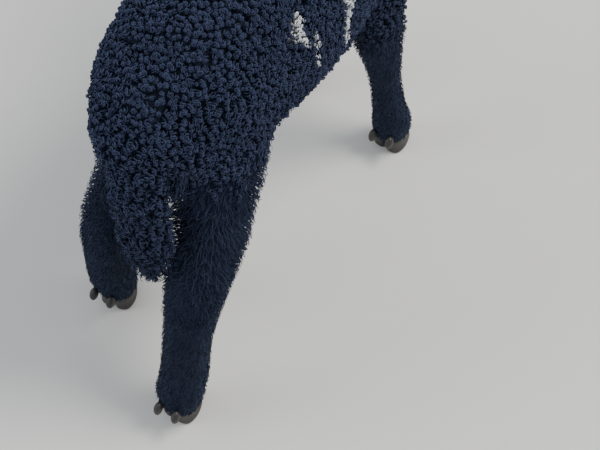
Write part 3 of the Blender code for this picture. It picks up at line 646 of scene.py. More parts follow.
def mouth_blade():
    """A curved blade along the line between the lips, open towards the throat."""
    line = []
    for k in range(MOUTH_STEPS + 1):
        along = k / MOUTH_STEPS
        y = MOUTH_CORNER + (MOUTH_FRONT - MOUTH_CORNER) * math.sin(along * math.pi / 2)
        width = muzzle_half_width(y) * (1 - along**3) ** 0.5
        z = MOUTH_HEIGHT + MOUTH_RISE * (1 - along) ** 2 - MOUTH_SAG * math.sin(along * math.pi)
        line.append(Vector((width, y, z)))
    path = line + [Vector((-p.x, p.y, p.z)) for p in reversed(line[:-1])]
    obj, spots = sleeve("mouth", len(path), 4)
    for vertex, (ring, turn) in zip(obj.data.vertices, spots):
        inward = Vector((-path[ring].x, MOUTH_CORNER - path[ring].y, 0)).normalized()
        share = math.sin(math.pi * (ring + 0.35) / (len(path) - 0.3))
        outside = math.cos(turn) > 0
        reach = -MOUTH_PAST_LIPS if outside else MOUTH_DEEPER * share + MOUTH_DEPTH
        high = MOUTH_HALF_HEIGHTS[0 if outside else 1] * math.copysign(1, math.sin(turn))
        vertex.co = (path[ring] + inward * reach + Vector((0, 0, high))) * MM
    face_outwards(obj)
    return obj


def throat_sections():
    """The upper end of the neck as sections in the head's own frame."""
    back = HEAD_PLACE.inverted()
    made = []
    for section in NECK[2:-1] + [THROAT_END]:
        middle = back @ (Vector(section[:3]) * MM) / MM
        made.append(Section(*middle, *section[3:]))
    return made


def press_furrows(skin):
    """Presses the furrows of the face into the skin, on both sides."""
    places, normals = vertex_array(skin.data), vertex_array(skin.data, "normal")
    folded = places.copy()
    folded[:, 0] = np.abs(folded[:, 0])
    push = np.zeros(len(places))
    for line, depth, width in FURROWS:
        points = curve_through(line, 6) * MM
        gaps = np.linalg.norm(folded[:, None, :] - points[None], axis=2).min(axis=1)
        push = np.maximum(push, depth * MM * np.exp(-((gaps / (width * MM)) ** 2)))
    set_vertices(skin.data, places - normals * push[:, None])


def build_head_skin():
    """Skull, cheeks, brows and jaw as one skin, with lids, mouth and nostrils."""
    shapes = [tube("skull", SKULL), tube("jaw", JAW), tube("throat", throat_sections(), THROAT_INSET)]
    for name, centre, radii in HEAD_BULGES:
        shapes.append(ball(name, centre, radii))
        if centre.x > 0:
            shapes.append(ball(name, centre * Vector((-1, 1, 1)), radii))
    skin = melt("head_skin", shapes, voxel=1.6 * MM, smoothing=5)
    socket_radius = (EYE_RADIUS + LID_GAP) / MM
    lid_radius = (EYE_RADIUS + LID_GAP + LID_THICKNESS) / MM
    tools = [
        (ball("lid", EYE_CENTRE / MM, [lid_radius] * 3), "UNION"),
        (ball("socket", EYE_CENTRE / MM, [socket_radius] * 3), "DIFFERENCE"),
        (almond(), "DIFFERENCE"),
        (ball("nostril", NOSTRIL_CENTRE, NOSTRIL_RADII, NOSTRIL_TURN), "DIFFERENCE"),
    ]
    for tool, operation in tools:
        other = mirrored(tool, tool.name + "_right")
        carve(skin, tool, operation)
        carve(skin, other, operation)
    carve(skin, mouth_blade(), "DIFFERENCE")
    modify(skin, "REMESH", mode="VOXEL", voxel_size=0.95 * MM)
    modify(skin, "SMOOTH", factor=0.5, iterations=3)
    press_furrows(skin)
    put(skin, HEAD_PLACE)
    return skin


def build_ear(name):
    """The left ear: a leaf rolled into a cup, with two low ridges inside it."""
    table = curve_through(EAR_ROLL, 5)
    columns = 20
    deselect_all()
    bpy.ops.mesh.primitive_grid_add(x_subdivisions=columns, y_subdivisions=len(table) - 1, size=2)
    obj = bpy.context.active_object
    obj.name = name
    along = EAR_DIRECTION
    opening = (EAR_OPENING - along * EAR_OPENING.dot(along)).normalized()
    across = along.cross(opening)
    for vertex in obj.data.vertices:
        row = round((vertex.co.y + 1) / 2 * (len(table) - 1))
        share, half_width, half_turn = table[row]
        middle = EAR_ROOT + along * (EAR_LENGTH * share) - Vector((0, 0, EAR_DROOP * share**2))
        turn = math.radians(half_turn)
        radius = half_width * MM / turn
        angle = vertex.co.x * turn
        ridge = EAR_RIDGE * math.cos(vertex.co.x * 9.5) * math.exp(-((share - 0.3) ** 2) / 0.05)
        ripple = EAR_RIPPLE * math.sin(share * 17) * vertex.co.x**4
        out = across * math.sin(angle) - opening * math.cos(angle)
        vertex.co = middle + opening * radius + out * (radius + ridge + ripple)
    modify(obj, "SOLIDIFY", thickness=EAR_THICKNESS, offset=0.0, use_even_offset=True)
    modify(obj, "SUBSURF", levels=1, render_levels=1)
    face_outwards(obj)
    put(obj, HEAD_PLACE)
    return obj


def build_eye(name):
    """The left eyeball with its clear bulge, mapped so that the pupil lies along the opening."""
    across, up, out = eye_axes()
    axes = Matrix((across, up, out)).transposed()
    obj = ball(name, (0, 0, 0), [EYE_RADIUS / MM] * 3, rings=32)
    mapped = obj.data.uv_layers.new(name="iris")
    places = vertex_array(obj.data) / EYE_RADIUS
    for polygon in obj.data.polygons:
        for loop in polygon.loop_indices:
            x, y, z = places[obj.data.loops[loop].vertex_index]
            far = math.hypot(x, y)
            reach = (2 - far if z < 0 else far) / max(far, 1e-6)
            mapped.data[loop].uv = (0.5 + 0.25 * x * reach, 0.5 + 0.25 * y * reach)
    far = np.hypot(places[:, 0], places[:, 1])
    bulge = BULGE_HEIGHT * np.exp(-((far / BULGE_REACH) ** 4)) * (places[:, 2] > 0)
    set_vertices(obj.data, places * (1 + bulge[:, None]) * EYE_RADIUS)
    put(obj, HEAD_PLACE @ Matrix.Translation(EYE_CENTRE) @ axes.to_4x4())
    return obj


# Hooves and horn


def build_claw(name, foot, side):
    """One claw, on the side of the foot given by side, from its flat sole up to the coronet."""
    x, y, toe_out = FEET[foot]
    outline = curve_through([(u * CLAW_WIDTH, v * CLAW_LENGTH) for u, v in CLAW_OUTLINE], 3)
    rings = curve_through(CLAW_RINGS[1:], 6)
    rings = np.vstack([CLAW_RINGS[0], rings])
    obj, spots = sleeve(name, len(rings), len(outline))
    for vertex, (ring, turn) in zip(obj.data.vertices, spots):
        p = outline[round(turn / (2 * math.pi) * len(outline)) % len(outline)]
        height, scale, shift = rings[ring]
        growth = 1 + 0.006 * math.sin(height * 2.4)
        flat = Vector((side * (CLAW_SPLIT / 2 + p[0] * scale * growth), p[1] * scale * growth + shift))
        flat.rotate(Matrix.Rotation(toe_out, 2))
        vertex.co = Vector((x + flat.x, y + flat.y, height)) * MM
    face_outwards(obj)
    point, down = coronet(foot)
    cut_off(obj, point - down * 3 * MM, -down, lambda place: True)
    modify(obj, "BEVEL", width=0.5 * MM, segments=2, limit_method="ANGLE", angle_limit=0.9)
    return obj


def build_dewclaw(name, foot, side):
    """One of the two small claws behind the pastern."""
    x, y, _ = FEET[foot]
    centre = (x + side * DEWCLAW_APART / 2, y + DEWCLAW_BACK, DEWCLAW_HEIGHT)
    return ball(name, centre, DEWCLAW_RADII, DEWCLAW_LEAN, rings=12)


def build_horn_bud(name):
    """The left horn bud: a short blunt cone with low rings, leaning out and back."""
    obj = ball(name, (0, 0, 0), HORN_BUD_RADII, rings=28)
    for vertex in obj.data.vertices:
        high = max(0, vertex.co.z / MM / HORN_BUD_RADII[2])
        ring = (1 - 0.3 * high**1.5) * (1 + 0.02 * math.sin(vertex.co.z / MM * 2.6))
        vertex.co.x *= ring
        vertex.co.y *= ring
    put(obj, HEAD_PLACE @ Matrix.Translation(HORN_BUD_CENTRE) @ HORN_BUD_LEAN)
    return obj


# Coat: tufts are tapered strands, built as arrays and joined region by region

Roots = namedtuple("Roots", "place normal lie uv")


def unwrap(skin):
    """Unfolds the skin's own shape flat, in the map that the coat is baked by."""
    skin.data.uv_layers.new(name="OFBake")
    edit_whole(skin, bpy.ops.uv.smart_project, angle_limit=math.radians(66), island_margin=0.002)


def scatter(skin, lie, spacing, wanted, seed):
    """Roots spread over the skin, no two nearer each other than the spacing there."""
    mesh = skin.data
    mesh.calc_loop_triangles()
    corners = read_rows(mesh.loop_triangles, "vertices", 3, np.int32)
    loops = read_rows(mesh.loop_triangles, "loops", 3, np.int32)
    areas = read_rows(mesh.loop_triangles, "area", 1)[:, 0]
    uvs = read_rows(mesh.uv_layers["OFBake"].data, "uv", 2)
    places, normals = vertex_array(mesh), vertex_array(mesh, "normal")
    middles = places[corners].mean(axis=1)
    gaps = spacing(middles)
    chance = np.where(wanted(middles), areas / gaps**2, 0)
    draw = np.random.default_rng(seed)
    total = int(TRIES_PER_ROOT * chance.sum())
    chosen = draw.choice(len(areas), size=total, p=chance / chance.sum())
    a, b = draw.random(total), draw.random(total)
    flip = a + b > 1
    a, b = np.where(flip, 1 - a, a), np.where(flip, 1 - b, b)
    share = np.stack([1 - a - b, a, b], axis=1)[:, :, None]
    place = (places[corners[chosen]] * share).sum(axis=1)
    normal = unit((normals[corners[chosen]] * share).sum(axis=1))
    uv = (uvs[loops[chosen]] * share).sum(axis=1)
    keep = thinned(place, gaps[chosen])
    place, normal, uv = place[keep], normal[keep], uv[keep]
    return Roots(place, normal, square_to(lie(place), normal), uv)


def thinned(places, gaps):
    """Indices of places that keep their gap from every place kept before them."""
    cell = float(gaps.max())
    cells = np.floor(places / cell).astype(int)
    kept, grid = [], {}
    around = [(i, j, k) for i in (-1, 0, 1) for j in (-1, 0, 1) for k in (-1, 0, 1)]
    for index, (place, key, gap) in enumerate(zip(places.tolist(), cells.tolist(), gaps.tolist())):
        x, y, z = place
        limit = gap * gap
        clear = True
        for i, j, k in around:
            for other in grid.get((key[0] + i, key[1] + j, key[2] + k), ()):
                if (x - other[0]) ** 2 + (y - other[1]) ** 2 + (z - other[2]) ** 2 < limit:
                    clear = False
                    break
            if not clear:
                break
        if clear:
            grid.setdefault(tuple(key), []).append(place)
            kept.append(index)
    return np.array(kept)


def some(roots, keep):
    """Only the roots to keep."""
    return Roots(*(array[keep] for array in roots))


def turned(vectors, axes, angles):
    """Unit vectors turned round unit axes that stand square to them."""
    angles = angles[:, None]
    return vectors * np.cos(angles) + np.cross(axes, vectors) * np.sin(angles)


def swirl(places, size, seed):
    """A smooth random number from about -1 to 1 at each place, varying over this size."""
    offset = Vector((seed, 2.7 * seed, 5.1 * seed))
    return np.array([noise.noise(Vector(p) / size + offset) for p in places]) * 1.6


def strands(name, roots, path, side, widths, flatness=0.8):
    """One mesh of tapered strands along the paths, their roots in the skin."""
    count, rings, _ = path.shape
    sides = STRAND_SIDES
    tangent = unit(np.gradient(path, axis=1))
    carried = []
    for ring in range(rings):
        side = square_to(side, tangent[:, ring])
        carried.append(side)
    side = np.stack(carried, axis=1)
    up = np.cross(tangent, side)
    turn = np.arange(sides) * 2 * math.pi / sides
    outline = (
        side[:, :, None, :] * np.cos(turn)[None, None, :, None]
        + up[:, :, None, :] * (np.sin(turn) * flatness)[None, None, :, None]
    )
    corners = path[:, :, None, :] + outline * widths[:, :, None, None]
    tip = path[:, -1] + tangent[:, -1] * widths[:, -1:]
    places = np.concatenate([corners.reshape(count, rings * sides, 3), tip[:, None]], axis=1)
    per_tuft = rings * sides + 1
    faces = []
    for i in range(rings - 1):
        for k in range(sides):
            a, b = i * sides + k, i * sides + (k + 1) % sides
            faces += [(a, b, b + sides), (a, b + sides, a + sides)]
    last = (rings - 1) * sides
    faces += [(last + k, last + (k + 1) % sides, rings * sides) for k in range(sides)]
    faces.append((2, 1, 0))
    triangles = (np.array(faces)[None] + (np.arange(count) * per_tuft)[:, None, None]).reshape(-1, 3)
    mesh = bpy.data.meshes.new(name)
    mesh.vertices.add(count * per_tuft)
    mesh.loops.add(triangles.size)
    mesh.polygons.add(len(triangles))
    mesh.vertices.foreach_set("co", places.astype(np.float32).ravel())
    mesh.loops.foreach_set("vertex_index", triangles.astype(np.int32).ravel())
    mesh.polygons.foreach_set("loop_start", np.arange(0, triangles.size, 3, dtype=np.int32))
    along = np.append(np.repeat(np.linspace(0, 1, rings), sides), 1.0)
    around = np.append(np.tile(np.arange(sides) / sides, rings), 0.5)
    patch = np.stack([along, around], axis=1) * OWN_PATCH
    uv = roots.uv[:, None, :] + patch[None] - OWN_PATCH / 2
    mapped = mesh.uv_layers.new(name="OFBake")
    mapped.data.foreach_set("uv", uv.reshape(-1, 2)[triangles.ravel()].astype(np.float32).ravel())
    tips = mesh.attributes.new("tip", "FLOAT", "POINT")
    tips.data.foreach_set("value", np.tile(along, count).astype(np.float32))
    # A number per tuft: how far its tip is lightened by the coat's painted highlight
    shade = mesh.attributes.new("shade", "FLOAT", "POINT")
    tuft_shade = swirl(roots.place, 6 * MM, 9.0) * 0.5 + 0.5
    shade.data.foreach_set("value", np.repeat(tuft_shade, per_tuft).astype(np.float32))
    mesh.update(calc_edges=True)
    mesh.shade_smooth()
    obj = bpy.data.objects.new(name, mesh)
    bpy.context.scene.collection.objects.link(obj)
    return obj


def combed(roots, draw, sway, size, spread, seed):
    """Which way each tuft lies: swayed in waves of this size, and a little at random."""
    angles = sway * swirl(roots.place, size, seed) + draw.normal(0, spread, len(roots.place))
    return turned(roots.lie, roots.normal, angles)


def moved(starts, *moves):
    """Paths from their starts, each ring moved by its amount along every one of the directions."""
    path = starts[:, None]
    for direction, amounts in moves:
        path = path + direction[:, None] * amounts[:, :, None]
    return path


def knots(name, roots, height, radius, seed, rings=7):
    """Small tight curls: a few strands each that wind inwards round one leaning axis."""
    draw = np.random.default_rng(seed)
    count = len(roots.place)
    ahead = combed(roots, draw, 0.9, 30 * MM, 0.5, seed)
    axis = unit(roots.normal + ahead * draw.uniform(0.1, 0.75, count)[:, None])
    ahead = square_to(ahead, axis)
    side = np.cross(axis, ahead)
    hand = draw.choice((-1.0, 1.0), count)
    height = height * draw.uniform(0.84, 1.08, count)
    radius = radius * draw.uniform(0.78, 1.25, count)
    turns = hand * draw.uniform(0.85, 1.2, count) * 2 * math.pi
    share = np.linspace(0, 1, rings - 1)
    taper = np.append(0.75, 1.05 - 0.65 * share**2.2)
    root = roots.place - roots.normal * 1.2 * MM
    paths, sides, widths = [], [], []
    for k in range(KNOT_STRANDS):
        begin = 2 * math.pi * k / KNOT_STRANDS + draw.normal(0, 0.25, count)
        angle = begin[:, None] + turns[:, None] * share
        size = radius[:, None] * (0.98 - 0.72 * share**1.4)
        rise = height[:, None] - 1.9 * radius[:, None] * (1 - np.sin(share * math.pi / 2))
        winding = (ahead, size * np.cos(angle)), (side, size * np.sin(angle))
        wound = moved(roots.place, (axis, rise), *winding)
        paths.append(np.concatenate([root[:, None], wound], axis=1))
        sides.append(ahead)
        widths.append((0.36 * radius)[:, None] * taper * draw.uniform(0.85, 1.15, count)[:, None])
    each = Roots(*(np.concatenate([array] * KNOT_STRANDS) for array in roots))
    return strands(name, each, np.concatenate(paths), np.concatenate(sides), np.concatenate(widths))


def locks(name, roots, length, lift, curl, width, seed, rings=5):
    """Wavy tapered locks that hang along the lie, each in a loose corkscrew to its tip."""
    draw = np.random.default_rng(seed)
    count = len(roots.place)
    ahead = combed(roots, draw, 0.55, 28 * MM, 0.35, seed)
    side = np.cross(roots.normal, ahead)
    length = (length * draw.uniform(0.7, 1.2, count))[:, None]
    lift = (lift * draw.uniform(0.75, 1.15, count))[:, None]
    curl = (curl * draw.uniform(0.6, 1.3, count))[:, None]
    share = np.linspace(0, 1, rings)[None]
    angle = draw.uniform(0, 2 * math.pi, count)[:, None] + share * draw.normal(0, 5.2, count)[:, None]
    spread = curl * np.minimum(1, 2.5 * share)
    out = lift * np.sin(share * math.pi * 0.6) + spread * np.sin(angle)
    path = moved(
        roots.place - roots.normal * MM,
        (ahead, length * share**1.25),
        (roots.normal, out),
        (side, spread * np.cos(angle)),
    )
    widths = width * np.linspace(1, 0.28, rings) ** 0.7 * draw.uniform(0.75, 1.25, count)[:, None]
    return strands(name, roots, path, side, widths)


def wisps(name, roots, length, lift, width, seed, rings=3):
    """Short tapered hairs that lie along the skin and bend back down towards it."""
    draw = np.random.default_rng(seed)
    count = len(roots.place)
    ahead = combed(roots, draw, 0.5, 25 * MM, 0.28, seed)
    side = np.cross(roots.normal, ahead)
    length = (length * draw.uniform(0.75, 1.2, count))[:, None]
    lift = (lift * draw.uniform(0.5, 1.2, count))[:, None]
    bend = draw.normal(0, 0.18, count)[:, None]
    share = np.linspace(0, 1, rings)[None]
    path = moved(
        roots.place - roots.normal * 0.5 * MM,
        (ahead, length * share),
        (roots.normal, lift * np.sin(share * math.pi * 0.62)),
        (side, length * bend * share**2),
    )
    taper = np.linspace(1, 0.25, rings) ** 0.8
    widths = width * taper[None] * draw.uniform(0.8, 1.2, count)[:, None]
    return strands(name, roots, path, side, widths, flatness=0.6)


# Where the coat grows, and which way it lies

# Places on the left side of the head that its wool keeps clear of, and by how many millimetres
WOOL_CLEAR_OF = ((EYE_CENTRE, 20), (EAR_ROOT, 11), (HORN_BUD_CENTRE, 8.5))
# Bare skin on the head, in millimetres in its own frame: how far round the middle of an eye, past
# which y on the muzzle, and on the lips past which y, at what height and half how wide
EYE_RIM = 15.8
MUZZLE_END = -156
LIPS_START = -100
LIPS_HEIGHT = -18
LIPS_HALF_WIDTH = 3.5

# How far the lamb stands from the drawing that the tables give, and the way from neck to head
SHIFT = sum(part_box("eye_left"), Vector()) / 2 - HEAD_PLACE @ EYE_CENTRE
HEADWARD = (HEAD_PLACE.to_3x3() @ NECK_UP).normalized()


def drawn(places):
    """Places in millimetres on the drawing that the tables give."""
    return (places - np.array(SHIFT)) / MM


def in_head(places):
    """Places in millimetres in the head's own frame, face along -Y."""
    back = np.array(HEAD_PLACE.inverted())
    return ((places - np.array(SHIFT)) @ back[:3, :3].T + back[:3, 3]) / MM


def past_joint(places):
    """How far the places are past the joint of neck and head, in millimetres."""
    return (drawn(places) - np.array(HEAD_JOINT) / MM) @ np.array(HEADWARD)


def depth_share(places):
    """1 where the fleece is at its full depth and 0 on the lower legs."""
    height = drawn(places)[:, 2]
    return np.clip((height - BARE_LEG / MM) / ((FULL_COAT - BARE_LEG) / MM), 0, 1)


def swung(lie, share, direction):
    """The lie swung round by its share of the way to a direction."""
    share = share[:, None]
    return lie * (1 - share) + np.array([direction]) * share


def body_lie(places):
    """Backwards and down on the trunk, down the neck, the legs and the tail."""
    _, y, z = drawn(places).T
    neck = smooth_step(*NECK_START, y) * smooth_step(*NECK_FOOT, z)
    tail = smooth_step(*TAIL_START, y) * smooth_step(*TAIL_TOP, z)
    lie = swung(np.array([TRUNK_LIE]), neck, NECK_LIE)
    lie = swung(lie, tail, TAIL_LIE)
    return swung(lie, smooth_step(*LEG_TOP, z), LEG_LIE)


def head_lie(places):
    """Back from the nose over the face, and forwards over the brow."""
    x, y, z = in_head(places).T
    down = smooth_step(20, -20, z)
    lie = np.stack([0.25 * np.sign(x), np.ones(len(x)), -0.25 - 0.5 * down], axis=1)
    poll = smooth_step(-62, -40, y) * smooth_step(12, 28, z)
    return swung(lie, poll, POLL_LIE) @ np.array(HEAD_PLACE.to_3x3()).T


def near(places, centre, reach):
    """Whether places of either side of the head lie within reach of a place of its left side."""
    folded = np.abs(places[:, 0])
    x, y, z = Vector(centre) / MM
    return (folded - x) ** 2 + (places[:, 1] - y) ** 2 + (places[:, 2] - z) ** 2 < reach**2


def woolly_head(places):
    """The poll, the forehead and the cheeks, clear of the eyes, ears and horn buds."""
    head = in_head(places)
    face_line = np.where(head[:, 2] > 28, -76, -46) + 5 * swirl(head * MM, 9 * MM, 6.0)
    grows = (head[:, 1] > face_line) & (past_joint(places) > -8)
    for centre, reach in WOOL_CLEAR_OF:
        grows &= ~near(head, centre, reach)
    return grows


def haired_face(places):
    """The short-haired face, clear of the wool, the bare muzzle, the lips and the eyes."""
    head = in_head(places)
    muzzle = head[:, 1] < MUZZLE_END
    lips = (head[:, 1] < LIPS_START) & (np.abs(head[:, 2] - LIPS_HEIGHT) < LIPS_HALF_WIDTH)
    bare = muzzle | lips | near(head, EYE_CENTRE, EYE_RIM)
    return ~woolly_head(places) & ~bare & (past_joint(places) > 0)


# Finishes


def add_node(tree, kind, inputs=(), **settings):
    """A node with these settings; each input is a value or the output that feeds it."""
    made = tree.nodes.new(kind)
    for name, value in settings.items():
        setattr(made, name, value)
    for key, value in dict(inputs).items():
        if isinstance(value, bpy.types.NodeSocket):
            tree.links.new(value, made.inputs[key])
        else:
            made.inputs[key].default_value = value
    return made


def new_material(name, roughness, specular, **more):
    """A material and its shader, with what is the same all over set on the shader itself."""
    material = bpy.data.materials.new(name)
    material.use_nodes = True
    shader = material.node_tree.nodes["Principled BSDF"]
    shader.inputs["Roughness"].default_value = roughness
    shader.inputs["Specular IOR Level"].default_value = specular
    for key, value in more.items():
        shader.inputs[key.replace("_", " ")].default_value = value
    return material, material.node_tree, shader


def mixed(tree, share, first, second):
    """First where the share is 0 and second where it is 1; each is a colour or an output."""
    ends = [(*end, 1) if isinstance(end, tuple) else end for end in (first, second)]
    inputs = {0: share, 6: ends[0], 7: ends[1]}
    return add_node(tree, "ShaderNodeMix", inputs, data_type="RGBA").outputs[2]


def math_node(tree, operation, first, second=0.0):
    return add_node(tree, "ShaderNodeMath", {0: first, 1: second}, operation=operation).outputs[0]


def stepped(tree, value, low, high):
    """0 below low and 1 above high, or the other way round where low is the greater."""
    return add_node(tree, "ShaderNodeMapRange", {0: value, 1: low, 2: high}).outputs[0]


def cloudy(tree, place, scale, detail):
    """A smooth random share from 0 to 1 that varies from place to place."""
    inputs = {"Vector": place, "Scale": scale, "Detail": detail}
    return add_node(tree, "ShaderNodeTexNoise", inputs).outputs["Fac"]


def centred(tree, place, centre, turn, size):
    """The place measured from a centre, along turned axes, in units of this size."""
    inputs = {"Vector": place, "Location": centre, "Rotation": turn, "Scale": size}
    return add_node(tree, "ShaderNodeMapping", inputs, vector_type="TEXTURE").outputs[0]


def length_of(tree, vector):
    return add_node(tree, "ShaderNodeVectorMath", {0: vector}, operation="LENGTH").outputs["Value"]


def object_place(tree):
    return add_node(tree, "ShaderNodeTexCoord").outputs["Object"]


def emboss(tree, shader, height, strength, depth):
    """Lets this height stand out of the surface, in the light only."""
    inputs = {"Strength": strength, "Distance": depth, "Height": height}
    bump = add_node(tree, "ShaderNodeBump", inputs)
    tree.links.new(bump.outputs[0], shader.inputs["Normal"])


def white_marking(tree, place):
    """1 on the white streaks of the right flank, with ragged edges, and 0 elsewhere."""
    ragged = cloudy(tree, place, 150.0, 3.0)
    share = 0.0
    for start, end, half_width in WHITE_STREAKS:
        start, end = Vector(start), Vector(end)
        along = (end - start).normalized()
        across = FLANK_OUT.cross(along).normalized()
        axes = Matrix((along, across, along.cross(across))).transposed()
        radii = Vector(((end - start).length / 2 + half_width, half_width, STREAK_DEPTH)) * MM
        local = centred(tree, place, (start + end) / 2 * MM, axes.to_euler(), radii)
        far = math_node(tree, "ADD", length_of(tree, local), ragged)
        share = math_node(tree, "MAXIMUM", share, stepped(tree, far, *STREAK_EDGE))
    return share


def coat_finish(name, root, tip, roughness, sheen, fibre):
    """Wool or hair in painted light: painted shade darkens the roots and the legs towards the hooves,
    and a painted highlight lightens the tips.
    """
    material, tree, shader = new_material(
        name, roughness, 0.1, Sheen_Weight=sheen, Sheen_Roughness=0.45, Sheen_Tint=(*SHEEN, 1)
    )
    place = object_place(tree)
    along = add_node(tree, "ShaderNodeAttribute", attribute_name="tip").outputs["Fac"]
    tuft = add_node(tree, "ShaderNodeAttribute", attribute_name="shade").outputs["Fac"]
    patchy = cloudy(tree, place, 22.0, 3.0)
    # How far each strand is lightened towards its tip by the painted highlight, more in some tufts and
    # patches than in others
    lit = stepped(tree, along, 0.12, 0.75)
    share = math_node(tree, "MULTIPLY", lit, math_node(tree, "ADD", tuft, patchy))
    # Painted shade on the lower legs: the coat darkens towards the hooves below uneven heights
    height = add_node(tree, "ShaderNodeSeparateXYZ", {0: place}).outputs[2]
    uneven_height = math_node(tree, "ADD", height, math_node(tree, "MULTIPLY", patchy, 0.06))
    above_leg_shade = stepped(tree, uneven_height, *LEG_SHADE_HEIGHTS)
    low = tuple(LEG_SHADE * c for c in tip)
    dark = mixed(tree, above_leg_shade, low, mixed(tree, share, root, tip))
    # The white streaks are greyer at the root in painted shade
    white = mixed(tree, stepped(tree, along, 0.0, 0.5), WHITE_WOOL_SHADED_ROOT, WHITE_WOOL_TIP)
    tree.links.new(mixed(tree, white_marking(tree, place), dark, white), shader.inputs["Base Color"])
    emboss(tree, shader, cloudy(tree, place, fibre, 2.0), 0.5, 0.4 * MM)
    return material


def skin_finish(name, colour, roughness, scale, depth, tilt=0.0, stretch=1.0):
    """Skin with short flat hair, in fine streaks that run back along the tilted length."""
    material, tree, shader = new_material(
        name, roughness, 0.12, Sheen_Weight=0.12, Sheen_Roughness=0.5, Sheen_Tint=(*SHEEN, 1)
    )
    place = object_place(tree)
    lying = centred(tree, place, (0, 0, 0), (tilt, 0, 0), (1, stretch, 1))
    grain = cloudy(tree, lying, scale, 3.0)
    lit = math_node(tree, "MULTIPLY", cloudy(tree, place, 40.0, 4.0), stepped(tree, grain, 0.36, 0.66))
    darker = tuple(0.35 * c for c in colour)
    lighter = tuple(2.0 * c for c in colour)
    tint = mixed(tree, white_marking(tree, place), mixed(tree, lit, darker, lighter), WHITE_SKIN)
    tree.links.new(tint, shader.inputs["Base Color"])
    emboss(tree, shader, grain, 1.0, depth)
    return material


def horn_finish(name, colour, roughness):
    """Horn with growth rings and a little wear."""
    material, tree, shader = new_material(name, roughness, 0.5)
    place = object_place(tree)
    waves = {"Vector": place, "Scale": 150.0, "Distortion": 3.0, "Detail": 2.0}
    rings = add_node(tree, "ShaderNodeTexWave", waves, bands_direction="Z").outputs["Fac"]
    worn = cloudy(tree, place, 110.0, 5.0)
    tint = mixed(tree, worn, colour, tuple(2.6 * c for c in colour))
    tree.links.new(tint, shader.inputs["Base Color"])
    emboss(tree, shader, math_node(tree, "ADD", rings, worn), 0.35, 0.4 * MM)
    return material


def eye_finish(name):
    """A wet eye: brown fibres round a level slot of a pupil, and a dark rim."""
    material, tree, shader = new_material(name, 0.08, 0.04, Coat_Weight=0.12, Coat_Roughness=0.01)
    mapped = add_node(tree, "ShaderNodeUVMap", uv_map="iris").outputs[0]
    level = centred(tree, mapped, (0.5, 0.5, 0), (0, 0, PUPIL_TURN), (0.25, 0.25, 1))
    parts = add_node(tree, "ShaderNodeSeparateXYZ", {0: level}).outputs
    far = length_of(tree, level)
    past_edge = 0.0
    for part, half_size in zip(parts, PUPIL_HALF_SIZES):
        share = math_node(tree, "DIVIDE", math_node(tree, "ABSOLUTE", part), half_size)
        past_edge = math_node(tree, "ADD", past_edge, math_node(tree, "POWER", share, 4))
    pupil = stepped(tree, past_edge, 1.25, 0.85)
    turn = math_node(tree, "ARCTAN2", parts[1], parts[0])
    ray = add_node(tree, "ShaderNodeCombineXYZ", {0: math_node(tree, "MULTIPLY", turn, 9.0), 1: far})
    iris = mixed(tree, cloudy(tree, ray.outputs[0], 2.2, 4.0), IRIS_DARK, IRIS_LIGHT)
    rimmed = mixed(tree, stepped(tree, far, 0.58, 0.74), iris, IRIS_RIM)
    whole = mixed(tree, stepped(tree, far, 0.84, 0.96), rimmed, EYE_WHITE)
    tree.links.new(mixed(tree, pupil, whole, PUPIL), shader.inputs["Base Color"])
    return material


# The lamb, piece by piece


def finish_piece(obj, material, slot, *nodes):
    """Gives a piece its material, and lets it stand for the named parts. Its slot is not used."""
    obj.data.materials.clear()
    obj.data.materials.append(material)
    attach(obj, "root")
    if nodes:
        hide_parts(*nodes)


